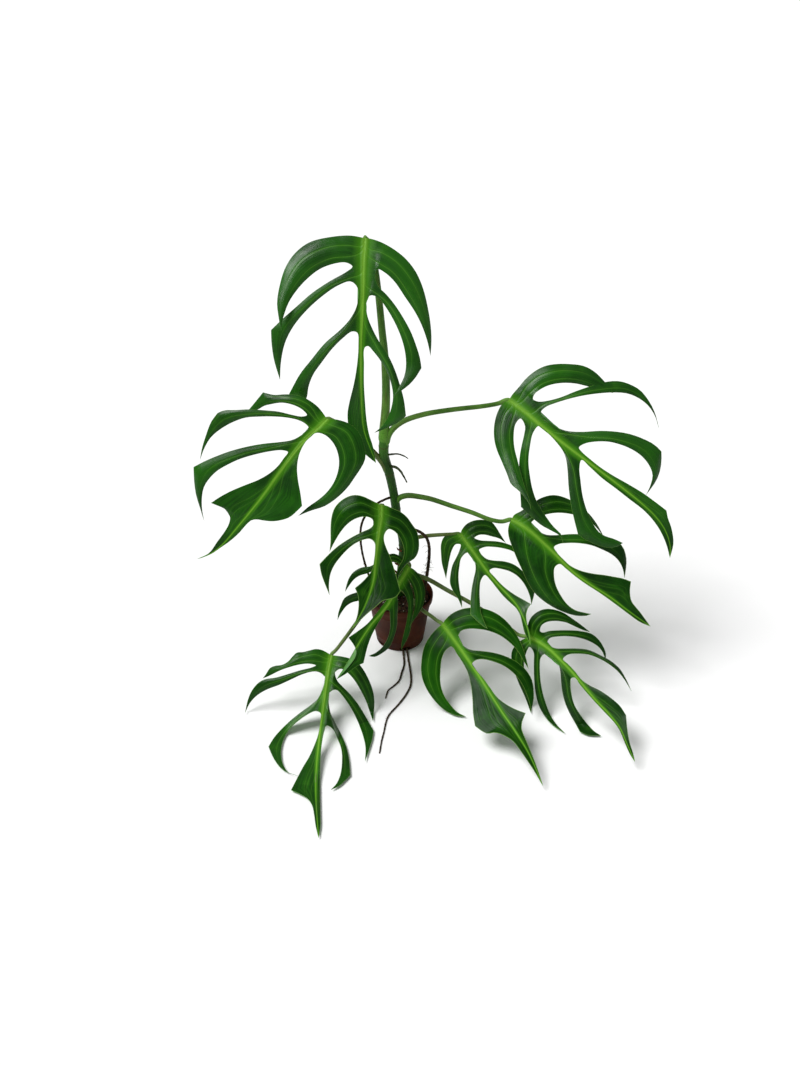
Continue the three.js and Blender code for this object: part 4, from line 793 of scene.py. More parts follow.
    def vein_line(self, lobe: Lobe, lane: float, grid: Array) -> Array:
        """Draws one vein, from the rib through the wing and on along its lobe.

        Args:
            lobe: the lobe.
            lane: the vein's place across the lobe, from 0 at the base side to 1.
            grid: the lobe's points.

        Returns:
            The vein's steps.
        """
        leave = lobe.share(0.25 * lane if lobe.from_base else 0.1)
        start, ahead = Vector(self.rib.at(leave)), Vector(self.rib.at(leave + 0.04))
        column = lane * (grid.shape[1] - 1)
        rows = [round(part * (grid.shape[0] - 1)) for part in VEIN_ROWS]
        spots = [Vector(between(column, np.arange(grid.shape[1]), grid[row])) for row in rows]
        span = (spots[0] - start).length
        out = (spots[1] - spots[0]).normalized()
        along_rib = (ahead - start).normalized()
        lean = along_rib * self.form.vein_lean * span
        arrive = out * span * 0.9
        bend = interpolate_bezier(start, start + lean / 3, spots[0] - arrive / 3, spots[0], 5)
        line = [Vector((p.x, p.y, 0.0)) for p in (*bend, *spots[1:])]
        return as_array(smooth_curve(line, 6))

    def add_end_lobe(self, margin: Line, corners: list[int], start: float) -> None:
        """Adds one side's half of the end lobe.

        Args:
            margin: its margin, from the last gap to the tip.
            corners: the margin's corners.
            start: where it starts along the rib.
        """
        form = self.form
        rows = form.terminal_rows
        outer = resample(margin, corners, rows, ROW_EASE)
        share = self.rib.on_part(start + (1 - start) * eased(rows, ROW_EASE))
        inner = self.rib.at(share)
        out = eased(form.wing_rows, WING_EASE)
        grid = inner[:, None] + (outer - inner)[:, None] * out[None, :, None]
        span = flat_distance(grid, inner[:, None])
        grid[..., 2] = inner[:, None, 2] + form.wing(span)
        length = (1 - start) * self.rib.total
        part = (share - start) / (1 - start)
        lines = []
        for leave in form.end_veins:
            places = np.linspace(0.0, 1.0, 7)
            run = leave + (0.96 - leave) * 0.78 * places
            rib_spots = self.rib.at(start + (1 - start) * run)
            edge_spots = between(run ** (1 / ROW_EASE) * rows, np.arange(rows + 1), outer)
            spots = rib_spots + (edge_spots - rib_spots) * (0.84 * places ** 1.35)[:, None]
            line = smooth_curve([Vector((spot[0], spot[1], 0.0)) for spot in spots], 6)
            lines.append(as_array(line))
        outline = as_array(margin)
        width = float(np.percentile(span[:, -1], 70))
        flow = out[None] ** 0.8 * width + np.zeros_like(part)[:, None]
        run = length * part[:, None] + 0 * out[None]
        fade = 0.55 * (1 - smooth_step(0.35, 0.95, out))[None] * (1 - 0.5 * part)[:, None]
        self.add_grid(grid, lines, outline, flow, run, fade)

    def add_grid(
        self, points: Array, lines: list[Array], outline: Array, *facts: Array
    ) -> None:
        """Keeps a grid, turned so that its faces look towards the eye.

        Args:
            points: the grid's points.
            lines: up to three veins that it may carry.
            outline: the lobe's margins.
            facts: the distances across and along its fibres, and how strong its veins are.
        """
        veins = np.full((*points.shape[:-1], 3), NO_VEIN)
        for index, line in enumerate(lines):
            veins[..., index] = distance_to_line(points, line, signed=True)
        facts = (veins, *facts, distance_to_line(points, outline))
        a, b = points[:-1, :-1], points[:-1, 1:]
        c, d = points[1:, 1:], points[1:, :-1]
        area = 0.0
        for p, q, r in ((a, b, c), (a, c, d)):
            area += ((q[..., 0] - p[..., 0]) * (p[..., 1] - r[..., 1])).sum()
            area -= ((r[..., 0] - p[..., 0]) * (p[..., 1] - q[..., 1])).sum()
        if area < 0:
            points = points[:, ::-1]
            facts = tuple(fact[:, ::-1] for fact in facts)
        self.grids.append(BladeGrid(points, *facts, number=len(self.grids)))

    def mesh(self, name: str, look: "LeafLook") -> Mesh:
        """Makes the sheet a mesh with the attributes that the leaf's finish reads.

        Args:
            name: the mesh's name.
            look: the leaf's tone with painted shade, its gloss and margin.

        Returns:
            The open sheet, in metres.
        """
        keys: dict[tuple[int, int, int], int] = {}
        spots: list[Array] = []
        margin: list[float] = []
        dips: list[float] = []
        cells: list[tuple[list[int], list[Array]]] = []
        for grid in self.grids:
            index = np.zeros(grid.points.shape[:2], dtype=int)
            sunk = grid.dips(self.form)
            for cell in np.ndindex(index.shape):
                spot = keys.setdefault(self.key(grid.points[cell]), len(spots))
                if spot == len(spots):
                    spots.append(grid.points[cell])
                    margin.append(grid.edge[cell])
                    dips.append(sunk[cell])
                index[cell] = spot
                margin[spot] = min(margin[spot], grid.edge[cell])
                dips[spot] = max(dips[spot], sunk[cell])
            for row, column in np.ndindex(index.shape[0] - 1, index.shape[1] - 1):
                face, facts = [], []
                for cell in (
                    (row, column), (row, column + 1), (row + 1, column + 1), (row + 1, column),
                ):
                    if index[cell] in face:
                        continue
                    face.append(int(index[cell]))
                    facts.append(np.array((
                        *grid.veins[cell], grid.flow[cell], grid.run[cell],
                        float(grid.number), grid.fade[cell],
                    )))
                if len(face) > 2:
                    cells.append((face, facts))
        places = self.rib_places(keys)
        parts = [part for cell in cells for part in self.split_at_rib(*cell, places)]
        faces = [face for face, _ in parts]
        corners = [fact for _, facts in parts for fact in facts]
        points = np.array(spots)
        edge = np.array(margin)
        rib_distance = distance_to_line(points, self.rib.line)
        band = self.rib_half_width(points)
        points[:, 2] -= np.array(dips) * smooth_step(2.0, 12.0, rib_distance)
        self.bend_finely(points, edge, rib_distance, band)
        mesh = bpy.data.meshes.new(name)
        mesh.from_pydata(PLANE.place_all(points).tolist(), [], faces)
        table = np.array(corners)
        for name, kind, domain, values in (
            ("vein", "FLOAT_VECTOR", "CORNER", table[:, :3]),
            ("fibre", "FLOAT_VECTOR", "CORNER", table[:, 3:6]),
            ("fade", "FLOAT", "CORNER", table[:, 6]),
            ("rib", "FLOAT", "POINT", rib_distance / band),
            ("edge", "FLOAT", "POINT", edge / look.pale_margin),
            ("tone_and_shade", "FLOAT", "POINT", np.full(len(points), look.tone_and_shade)),
            ("shine", "FLOAT", "POINT", np.full(len(points), look.shine)),
        ):
            layer = mesh.attributes.new(name, kind, domain)
            slot = "value" if kind == "FLOAT" else "vector"
            layer.data.foreach_set(slot, np.ascontiguousarray(values, dtype=np.float32).ravel())
        mesh.validate()
        return mesh

    @staticmethod
    def key(point: Array) -> tuple[int, ...]:
        """Names the spot that a point belongs to, so that points in one place share it."""
        return tuple(int(round(value * SPOT_RASTER)) for value in point)

    def rib_places(self, keys: dict[tuple[int, ...], int]) -> dict[int, int]:
        """Finds the spots on the rib, and the part of the rib where each of them lies."""
        rib = self.rib.at(np.arange(self.rib.parts + 1) / self.rib.parts)
        named = [(keys.get(self.key(point)), part) for part, point in enumerate(rib)]
        return {spot: part for spot, part in named if spot is not None}

    @staticmethod
    def split_at_rib(
        face: list[int], facts: list[Array], places: dict[int, int]
    ) -> list[tuple[list[int], list[Array]]]:
        """Splits a face that lies along the rib at the spots of the blade's other half.

        Args:
            face: its spots, in order.
            facts: what the finish reads at each of them.
            places: the parts of the rib where its spots lie.

        Returns:
            The face itself, or the faces that take its place.
        """
        for turn in range(len(face)):
            face, facts = face[1:] + face[:1], facts[1:] + facts[:1]
            if face[0] in places and face[1] in places:
                break
        else:
            return [(face, facts)]
        first, span = places[face[0]], places[face[1]] - places[face[0]]
        shares = {spot: (part - first) / span for spot, part in places.items()}
        line = sorted((spot for spot in shares if 0 <= shares[spot] <= 1), key=shares.get)
        steps = [facts[0] + (facts[1] - facts[0]) * shares[spot] for spot in line]
        parts = []
        for step in range(len(line) - 1):
            far = range(2, len(face)) if step == (len(line) - 1) // 2 else (2,)
            if step < (len(line) - 1) // 2:
                far = (len(face) - 1,)
            parts.append((
                [*line[step:step + 2], *(face[corner] for corner in far)],
                [*steps[step:step + 2], *(facts[corner] for corner in far)],
            ))
        return parts

    def rib_half_width(self, points: Array) -> Array:
        """The half-width of the rib's pale band beside each point, in millimetres."""
        form = self.form
        offsets = points[:, None, :2] - self.rib.line[None, :, :2]
        nearest = (offsets ** 2).sum(axis=2).argmin(axis=1)
        share = (self.rib.lengths / self.rib.total)[nearest]
        return self.drawing.radii[1] * form.rib_band * (1 - share) ** 1.6 + form.rib_band_end

    def bend_finely(self, points: Array, edge: Array, rib: Array, band: Array) -> None:
        """Raises the rib and gives the blade its small waves, in place.

        Args:
            points: the blade's spots.
            edge: their distances from the margin.
            rib: their distances from the rib.
            band: the rib's half-width beside them.
        """
        form = self.form
        crest = 1 - smooth_step(0.2, 1.15, rib / band)
        ridge = form.rib_ridge * np.minimum(1.0, band / 4) * crest
        calm = smooth_step(4.0, 30.0, rib)
        near_edge = np.exp(-edge / 5.0)
        for index, point in enumerate(points):
            place = Vector((point[0], point[1], 0.0)) * PLANE.square
            low = noise.noise(place / form.wave_length + Vector((0, 0, self.seed * 7.3)))
            high = noise.noise(place / form.ripple_length + Vector((0, 0, self.seed * 3.1)))
            shift = form.wave * low * (0.5 + near_edge[index]) + form.ripple * high
            point[2] += ridge[index] + shift * calm[index]
        lowest = PLANE.near_at_height(points[:, 1], form.floor_clearance)
        points[:, 2] = np.maximum(points[:, 2], lowest)


# ---- Finishes ----

def linear(*screen: int) -> Triple:
    """Turns a colour as seen on a screen, 0 to 255, into Blender's linear values."""
    shares = [value / 255 for value in screen]
    return tuple(
        share / 12.92 if share <= 0.04045 else ((share + 0.055) / 1.055) ** 2.4 for share in shares
    )


class NodePen:
    """Draws a node tree: adds nodes, sets their sockets and joins them."""

    def __init__(self, tree: bpy.types.NodeTree) -> None:
        """Takes the tree to draw in."""
        self.tree = tree

    def put(self, socket: Socket, value: object) -> None:
        """Gives a socket a constant, or joins another socket to it."""
        if isinstance(value, Socket):
            self.tree.links.new(value, socket)
        elif socket.type == "RGBA":
            socket.default_value = (*value, 1.0)
        else:
            socket.default_value = value

    def node(self, kind: str, values: dict | None = None, **settings: object) -> bpy.types.Node:
        """Adds a node.

        Args:
            kind: the node's type.
            values: what each input takes, by name or number: a constant, or a socket to join.
            settings: the node's own properties.

        Returns:
            The node.
        """
        made = self.tree.nodes.new(kind)
        for key, value in settings.items():
            setattr(made, key, value)
        for key, value in (values or {}).items():
            self.put(made.inputs[key], value)
        return made

    def math(self, operation: str, *values: object) -> Socket:
        """Adds a Math node and returns its result."""
        return self.node("ShaderNodeMath", dict(enumerate(values)), operation=operation).outputs[0]

    def times(self, *values: object) -> Socket:
        """The product of two values."""
        return self.math("MULTIPLY", *values)

    def plus(self, *values: object) -> Socket:
        """The sum of two values."""
        return self.math("ADD", *values)

    def ramp(self, value: object, low: float, high: float, start: float = 0.0, end: float = 1.0
             ) -> Socket:
        """An eased run from start at the low value to end at the high one."""
        inputs = dict(enumerate((value, low, high, start, end)))
        return self.node("ShaderNodeMapRange", inputs, interpolation_type="SMOOTHSTEP").outputs[0]

    def fall(self, value: object, low: float, high: float) -> Socket:
        """An eased fall from 1 at the low value to 0 at the high one."""
        return self.ramp(value, low, high, 1.0, 0.0)

    def mix(self, share: object, first: object, second: object) -> Socket:
        """Mixes two colours and returns the result."""
        inputs = {0: share, 6: first, 7: second}
        return self.node("ShaderNodeMix", inputs, data_type="RGBA").outputs[2]

    def coat(self, base: object, share: object, strength: float, colour: Triple
             ) -> Socket:
        """Lays a colour over another one, by a share times a strength."""
        return self.mix(self.times(share, strength), base, colour)

    def attribute(self, name: str, output: str = "Fac") -> Socket:
        """Reads one of the mesh's attributes."""
        return self.node("ShaderNodeAttribute", attribute_name=name).outputs[output]

    def split(self, name: str) -> Iterable[Socket]:
        """The three parts of one of the mesh's attributes."""
        return self.node("ShaderNodeSeparateXYZ", {0: self.attribute(name, "Vector")}).outputs

    def vector(self, *parts: object) -> Socket:
        """Makes a vector of three parts."""
        return self.node("ShaderNodeCombineXYZ", dict(enumerate(parts))).outputs[0]

    def noise(self, vector: object, scale: float, detail: float = 3.0, rough: float = 0.5
              ) -> Socket:
        """Adds a noise over a vector and returns its value."""
        inputs = {"Vector": vector, "Scale": scale, "Detail": detail, "Roughness": rough}
        return self.node("ShaderNodeTexNoise", inputs).outputs[0]

    def place(self) -> Socket:
        """The place on the piece, in metres."""
        return self.node("ShaderNodeTexCoord").outputs["Object"]

    def bump(self, height: object, distance: float, strength: float) -> Socket:
        """Turns a height into a bumped normal; the distance is in metres."""
        inputs = {"Height": height, "Distance": distance, "Strength": strength}
        return self.node("ShaderNodeBump", inputs).outputs[0]

    def shift(self, shape: Socket, offset: Socket) -> Socket:
        """Moves a shape's points by an offset."""
        return self.node("GeometryNodeSetPosition", {0: shape, "Offset": offset}).outputs[0]

    def keep(self, shape: Socket, name: str, value: Socket) -> Socket:
        """Keeps a value on a shape's points as a named attribute."""
        inputs = {"Geometry": shape, "Name": name, "Value": value}
        return self.node("GeometryNodeStoreNamedAttribute", inputs, data_type="FLOAT").outputs[0]

    def vein_distance(self) -> Socket:
        """The distance to a blade's nearest vein, in millimetres."""
        first, second, third = (self.math("ABSOLUTE", vein) for vein in self.split("vein"))
        return self.math("MINIMUM", self.math("MINIMUM", first, second), third)


class Finish:
    """A procedural material, drawn from what its shader's inputs take."""

    def inputs(self, pen: NodePen) -> dict[str, object]:
        """Draws a constant or a socket for each of the shader's inputs that it sets."""
        raise NotImplementedError

    def make(self, name: str) -> Material:
        """Makes the material.

        Args:
            name: the material's name.

        Returns:
            The material.
        """
        material = bpy.data.materials.new(name)
        material.use_nodes = True
        material.node_tree.nodes.clear()
        pen = NodePen(material.node_tree)
        shader = pen.node("ShaderNodeBsdfPrincipled", self.inputs(pen))
        pen.node("ShaderNodeOutputMaterial", {0: shader.outputs[0]})
        return material


@dataclass(frozen=True)
class PlainFinish(Finish):
    """One dull even colour."""

    colour: Triple
    roughness: float = 0.9

    def inputs(self, pen: NodePen) -> dict[str, object]:
        """Draws the shader's inputs."""
        return {"Base Color": self.colour, "Roughness": self.roughness}


@dataclass(frozen=True)
class BladeFinish(Finish):
    """The upper face of a leaf: glossy deep green, bright rib, fine veins, pale margin."""

    deep: Triple = linear(8, 45, 3)
    middle: Triple = linear(30, 88, 9)
    bright: Triple = linear(72, 138, 22)
    vein: Triple = linear(94, 152, 48)
    rib: Triple = linear(110, 160, 48)
    margin: Triple = linear(112, 150, 66)
    halo_share: float = 0.15
    glow_share: float = 0.58
    patch_share: float = 0.15
    vein_share: float = 0.42
    margin_share: float = 0.8
    rib_share: float = 0.95
    roughness: float = 0.27
    gloss: float = 0.2
    rib_dulling: float = 0.6
    relief: float = 0.0009

    def inputs(self, pen: NodePen) -> dict[str, object]:
        """Draws the shader's inputs from the blade's attributes."""
        place, fade, rib = pen.place(), pen.attribute("fade"), pen.attribute("rib")
        across, along, lobe = pen.split("fibre")
        distance = pen.vein_distance()
        glow = pen.fall(rib, 0.8, 3.4)
        fibre = pen.vector(pen.times(across, 0.55), pen.times(along, 0.012), pen.times(lobe, 7.1))
        streak = pen.noise(fibre, 1.0)
        shade = pen.plus(pen.times(pen.noise(place, 12.0, 4.0), 0.75), pen.times(streak, 0.5))
        # Each leaf's darkening: partly its own tone, partly painted shade for the leaves that sit
        # in shade.
        shade = pen.plus(shade, pen.times(pen.attribute("tone_and_shade"), 0.16))
        base = pen.mix(pen.ramp(shade, 0.42, 0.88), self.deep, self.middle)
        halo = pen.times(pen.fall(distance, 0.0, 7.0), fade)
        base = pen.coat(base, halo, self.halo_share, self.bright)
        base = pen.coat(base, glow, self.glow_share, self.bright)
        patch = pen.ramp(pen.noise(place, 42.0), 0.55, 0.8)
        base = pen.coat(base, patch, self.patch_share, self.bright)
        line = pen.times(pen.fall(distance, 0.0, 0.95), fade)
        base = pen.coat(base, line, self.vein_share, self.vein)
        rim = pen.fall(pen.attribute("edge"), 0.4, 1.3)
        base = pen.coat(base, rim, self.margin_share, self.margin)
        core = pen.times(pen.ramp(rib, 0.0, 0.55, 1.0, 0.55), self.rib_share)
        shine = pen.times(pen.attribute("shine"), self.gloss)
        groove = pen.times(pen.fall(distance, 0.0, 3.0), fade)
        relief = pen.plus(pen.times(groove, -0.5), pen.times(streak, 0.7))
        relief = pen.plus(relief, pen.times(pen.noise(place, 260.0, 2.0), 0.1))
        worn = pen.noise(place, 30.0, 4.0)
        return {
            "Base Color": pen.mix(pen.times(pen.fall(rib, 0.35, 1.15), core), base, self.rib),
            "Roughness": pen.ramp(worn, 0.3, 0.7, self.roughness - 0.05, self.roughness + 0.1),
            "Specular IOR Level": pen.times(
                shine, pen.math("SUBTRACT", 1.0, pen.times(glow, self.rib_dulling))
            ),
            "Normal": pen.bump(relief, self.relief, 0.7),
        }


@dataclass(frozen=True)
class UnderFinish(Finish):
    """The paler, duller underside of a leaf, with its raised veins."""

    deep: Triple = linear(44, 104, 28)
    bright: Triple = linear(82, 148, 48)
    vein: Triple = linear(120, 172, 76)
    roughness: float = 0.55
    relief: float = 0.0006

    def inputs(self, pen: NodePen) -> dict[str, object]:
        """Draws the shader's inputs."""
        place = pen.place()
        line = pen.times(pen.fall(pen.vein_distance(), 0.5, 1.6), pen.attribute("fade"))
        cloud = pen.noise(place, 18.0, 4.0)
        base = pen.mix(pen.ramp(cloud, 0.3, 0.75), self.deep, self.bright)
        relief = pen.plus(line, pen.times(pen.noise(place, 240.0, 2.0), 0.3))
        return {
            "Base Color": pen.coat(base, line, 0.7, self.vein),
            "Roughness": pen.ramp(cloud, 0.3, 0.7, self.roughness - 0.05, self.roughness + 0.08),
            "Normal": pen.bump(relief, self.relief, 0.6),
        }


@dataclass(frozen=True)
class StalkFinish(Finish):
    """Green skin of a stalk or the stem: fine lengthwise streaks and specks."""

    deep: Triple
    bright: Triple
    speck: Triple
    blush: Triple
    knuckle: Triple
    young: Triple
    blush_share: float
    young_reach: float = 0.05
    roughness: float = 0.42
    gloss: float = 0.14
    relief: float = 0.0007

    def inputs(self, pen: NodePen) -> dict[str, object]:
        """Draws the shader's inputs from the tube's attributes."""
        place, run = pen.place(), pen.attribute("run")
        turn = pen.times(pen.attribute("around"), 2 * math.pi)
        ring = pen.vector(
            pen.times(pen.math("COSINE", turn), 2.4), pen.times(pen.math("SINE", turn), 2.4),
            pen.times(run, 22.0),
        )
        streak = pen.noise(ring, 2.2, 4.0, 0.6)
        shade = pen.plus(pen.times(streak, 0.7), pen.times(pen.noise(place, 22.0), 0.5))
        base = pen.mix(pen.ramp(shade, 0.38, 0.82), self.deep, self.bright)
        blush = pen.ramp(pen.noise(ring, 0.8), 0.5, 0.68)
        base = pen.coat(base, blush, self.blush_share, self.blush)
        youth = pen.fall(run, 0.4 * self.young_reach, self.young_reach)
        base = pen.coat(base, youth, 0.7, self.young)
        base = pen.coat(base, pen.attribute("mark"), 0.7, self.knuckle)
        dots = pen.node("ShaderNodeTexVoronoi", {"Vector": place, "Scale": 420.0}).outputs[0]
        relief = pen.plus(streak, pen.times(pen.noise(place, 300.0), 0.5))
        return {
            "Base Color": pen.coat(base, pen.fall(dots, 0.1, 0.24), 0.55, self.speck),
            "Roughness": pen.ramp(streak, 0.3, 0.7, self.roughness - 0.05, self.roughness + 0.1),
            "Specular IOR Level": self.gloss,
            "Normal": pen.bump(relief, self.relief, 0.6),
        }


@dataclass(frozen=True)
class BarkFinish(Finish):
    """Rough dull matter: roots, bark, husk, moss and grains."""

    deep: Triple
    bright: Triple
    tip: Triple
    scale: float = 160.0
    roughness: float = 0.85
    gloss: float = 0.15
    relief: float = 0.0012

    def inputs(self, pen: NodePen) -> dict[str, object]:
        """Draws the shader's inputs."""
        place = pen.place()
        coarse = pen.noise(place, self.scale * 0.35, 4.0, 0.6)
        fine = pen.noise(place, self.scale * 2.2, 4.0, 0.65)
        shade = pen.plus(pen.times(coarse, 0.6), pen.times(fine, 0.5))
        base = pen.mix(pen.ramp(shade, 0.38, 0.78), self.deep, self.bright)
        return {
            "Base Color": pen.coat(base, pen.ramp(fine, 0.62, 0.72), 0.6, self.tip),
            "Roughness": self.roughness,
            "Specular IOR Level": self.gloss,
            "Normal": pen.bump(shade, self.relief, 0.8),
        }


@dataclass(frozen=True)
class PotFinish(Finish):
    """Moulded brown plastic: satin, faintly rippled, with patches of dust."""

    deep: Triple = linear(50, 20, 10)
    bright: Triple = linear(82, 40, 22)
    dust: Triple = linear(112, 76, 54)
    roughness: float = 0.58
    gloss: float = 0.08
    relief: float = 0.0005

    def inputs(self, pen: NodePen) -> dict[str, object]:
        """Draws the shader's inputs."""
        place = pen.place()
        cloud = pen.noise(place, 20.0, 4.0)
        base = pen.mix(pen.ramp(cloud, 0.3, 0.75), self.deep, self.bright)
        dust = pen.ramp(pen.noise(place, 90.0, 5.0, 0.7), 0.55, 0.8)
        relief = pen.plus(pen.times(cloud, 0.6), pen.times(pen.noise(place, 700.0, 2.0), 0.35))
        return {
            "Base Color": pen.coat(base, dust, 0.3, self.dust),
            "Roughness": pen.ramp(dust, 0.0, 1.0, self.roughness, self.roughness + 0.25),
            "Specular IOR Level": self.gloss,
            "Normal": pen.bump(relief, self.relief, 0.5),
        }


def bark(deep: Triple, bright: Triple, tip: Triple, **settings: float) -> BarkFinish:
    """A rough finish from colours as seen on a screen."""
    return BarkFinish(linear(*deep), linear(*bright), linear(*tip), **settings)


FINISHES: dict[str, Finish] = {
    "stalk_green": StalkFinish(
        deep=linear(46, 88, 24), bright=linear(98, 142, 56), speck=linear(62, 70, 30),
        blush=linear(92, 64, 44), blush_share=0.35, knuckle=linear(112, 158, 70),
        young=linear(88, 142, 46),
    ),
    "stalk_olive": StalkFinish(
        deep=linear(58, 84, 34), bright=linear(104, 124, 66), speck=linear(56, 46, 28),
        blush=linear(96, 76, 48), blush_share=0.45, knuckle=linear(112, 150, 72),
        young=linear(74, 104, 44), young_reach=0.03,
    ),
    "stem_green": StalkFinish(
        deep=linear(16, 48, 8), bright=linear(46, 96, 22), speck=linear(58, 74, 36),
        blush=linear(40, 56, 22), blush_share=0.3, knuckle=linear(66, 62, 32),
        young=linear(62, 116, 30), young_reach=0.07,
    ),
    "root_brown": bark((30, 22, 12), (70, 54, 34), (104, 84, 58)),
    "root_young": bark((30, 38, 18), (66, 78, 44), (92, 96, 62)),
    "root_hair": bark((44, 26, 16), (100, 74, 52), (128, 108, 84)),
    "bark_mix": bark((20, 14, 10), (52, 36, 26), (84, 64, 46)),
    "bark_chip": bark((34, 22, 15), (86, 58, 40), (126, 98, 70), scale=110.0),
    "papery_husk": bark((84, 44, 24), (140, 84, 48), (170, 124, 84)),
    "root_tip": bark((150, 168, 138), (214, 220, 200), (236, 240, 226), roughness=0.6),
    "moss": bark((30, 48, 16), (70, 96, 38), (110, 130, 66), scale=300.0),
    "white_grain": bark((150, 146, 134), (210, 206, 196), (236, 234, 226), scale=400.0),
    "leaf_upper": BladeFinish(),
    "leaf_under": UnderFinish(),
    "leaf_rim": UnderFinish(),
    "pot_plastic": PotFinish(),
}


# ---- Pieces drawn by Geometry Nodes ----


def new_object(name: str, mesh: Mesh) -> Object:
    """Adds an object at the origin."""
    made = bpy.data.objects.new(name, mesh)
    bpy.context.scene.collection.objects.link(made)
    return made


def apply_modifiers(host: Object) -> Object:
    """Turns an object's evaluated shape into its plain mesh and removes its modifiers.

    Args:
        host: the object.

    Returns:
        The same object.
    """
    graph = bpy.context.evaluated_depsgraph_get()
    graph.update()
    plain = bpy.data.meshes.new_from_object(host.evaluated_get(graph), depsgraph=graph)
    host.modifiers.clear()
    old = host.data
    host.data = plain
    plain.name = host.name
    bpy.data.meshes.remove(old)
    return host


def dress(piece: Object, slot: str, *nodes: str) -> None:
    """Lets a finished piece ride on the plant, logs its slot and hides the CAD nodes that it
    stands for.
    """
    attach(piece, "root")
    if nodes:
        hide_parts(*nodes)
    triangles = sum(len(face.vertices) - 2 for face in piece.data.polygons)
    LOG.info("%s: %d triangles, slot %s", piece.name, triangles, slot)


class ShapeTree:
    """A Geometry Nodes tree with named inputs, that turns a mesh into a finished piece."""

    title = ""
    sockets: dict[str, str] = {}

    def __init__(self) -> None:
        """Draws the tree, from its inputs to the material that it sets."""
        self.tree = bpy.data.node_groups.new(self.title, "GeometryNodeTree")
        face = self.tree.interface
        face.new_socket("Geometry", in_out="INPUT", socket_type="NodeSocketGeometry")
        self.names = {
            name: face.new_socket(name, in_out="INPUT", socket_type="NodeSocket" + kind).identifier
            for name, kind in {**self.sockets, "Finish": "Material"}.items()
        }
        face.new_socket("Geometry", in_out="OUTPUT", socket_type="NodeSocketGeometry")
        pen = NodePen(self.tree)
        inputs = pen.node("NodeGroupInput").outputs
        shape = {"Geometry": self.draw(pen, inputs), "Material": inputs["Finish"]}
        pen.node("NodeGroupOutput", {0: pen.node("GeometryNodeSetMaterial", shape).outputs[0]})

    def draw(self, pen: NodePen, inputs: Sockets) -> Socket:
        """Draws the nodes that make the shape, and returns its socket."""
        raise NotImplementedError

    def run(self, name: str, mesh: Mesh, values: dict[str, object]) -> Object:
        """Runs the tree on a mesh.

        Args:
            name: the piece's name.
            mesh: the mesh to start from.
            values: what the tree's inputs take.

        Returns:
            The result as a plain mesh object.
        """
        host = new_object(name, mesh)
        modifier = host.modifiers.new(self.title, "NODES")
        modifier.node_group = self.tree
        for key, value in values.items():
            modifier[self.names[key]] = value
        return apply_modifiers(host)


@dataclass
class Strand:
    """One tube's centre line, its radii in metres, and a mark from 0 to 1 for its finish."""

    path: Line
    radii: list[float]
    marks: list[float] | None = None


@dataclass(frozen=True)
class TubeStyle:
    """How a tube is drawn along its path. Lengths in metres."""

    sides: int
    spacing: float
    knobble: float = 0.0
    knobble_scale: float = 60.0
    seed: float = 0.0


class TubeTree(ShapeTree):
    """Draws a closed round tube along a chain of vertices.

    The chain's radius attribute gives the tube's radius. The result keeps run, the length
    from the start, and around, the turn as a share of a full one.
    """

    title = "tube_along_path"
    sockets = {
        "Sides": "Int", "Spacing": "Float", "Knobble": "Float", "Knobble Scale": "Float",
        "Seed": "Float",
    }

    def draw(self, pen: NodePen, inputs: Sockets) -> Socket:
        """Draws the tube, its knobbly skin and its smooth shading."""
        radius = pen.node("GeometryNodeInputNamedAttribute", {"Name": "radius"}, data_type="FLOAT")
        curve = pen.node("GeometryNodeMeshToCurve", {0: inputs["Geometry"]})
        even = pen.node("GeometryNodeResampleCurve", {
            "Curve": curve.outputs[0], "Length": inputs["Spacing"],
        }, mode="LENGTH")
        length = pen.node("GeometryNodeSplineParameter").outputs["Length"]
        ring = pen.node("GeometryNodeCurvePrimitiveCircle", {
            "Resolution": inputs["Sides"], "Radius": 1.0,
        })
        turn = pen.node("GeometryNodeSplineParameter").outputs["Factor"]
        tube = pen.node("GeometryNodeCurveToMesh", {
            "Curve": pen.keep(even.outputs[0], "run", length),
            "Profile Curve": pen.keep(ring.outputs[0], "around", turn),
            "Scale": radius.outputs[0], "Fill Caps": True,
        })
        bumps = pen.node("ShaderNodeTexNoise", {
            "Vector": pen.node("GeometryNodeInputPosition").outputs[0],
            "Scale": inputs["Knobble Scale"], "W": inputs["Seed"], "Detail": 2.0,
        }, noise_dimensions="4D")
        height = pen.times(pen.math("SUBTRACT", bumps.outputs[0], 0.5), inputs["Knobble"])
        offset = pen.node("ShaderNodeVectorMath", {
            0: pen.node("GeometryNodeInputNormal").outputs[0], "Scale": height,
        }, operation="SCALE")
        moved = pen.shift(tube.outputs[0], offset.outputs[0])
        smooth = pen.node("GeometryNodeSetShadeSmooth", {0: moved})
        return pen.node("GeometryNodeRealizeInstances", {0: smooth.outputs[0]}).outputs[0]

    def tube(self, name: str, strands: list[Strand], finish: Material, style: TubeStyle) -> Object:
        """Draws one piece of one or more tubes.

        Args:
            name: the piece's name.
            strands: what its tubes follow.
            finish: its material.
            style: how finely it is drawn.

        Returns:
            The tubes as a plain mesh object.
        """
        points, links, radii, marks = [], [], [], []
        for strand in strands:
            first = len(points)
            points.extend(tuple(point) for point in strand.path)
            links.extend((first + i, first + i + 1) for i in range(len(strand.path) - 1))
            radii.extend(strand.radii)
            marks.extend(strand.marks or [0.0] * len(strand.path))
        chain = bpy.data.meshes.new(name + "_path")
        chain.from_pydata(points, links, [])
        for key, values in (("radius", radii), ("mark", marks)):
            chain.attributes.new(key, "FLOAT", "POINT").data.foreach_set("value", values)
        return self.run(name, chain, {
            "Sides": style.sides, "Spacing": style.spacing, "Knobble": style.knobble,
            "Knobble Scale": style.knobble_scale, "Seed": style.seed, "Finish": finish,
        })


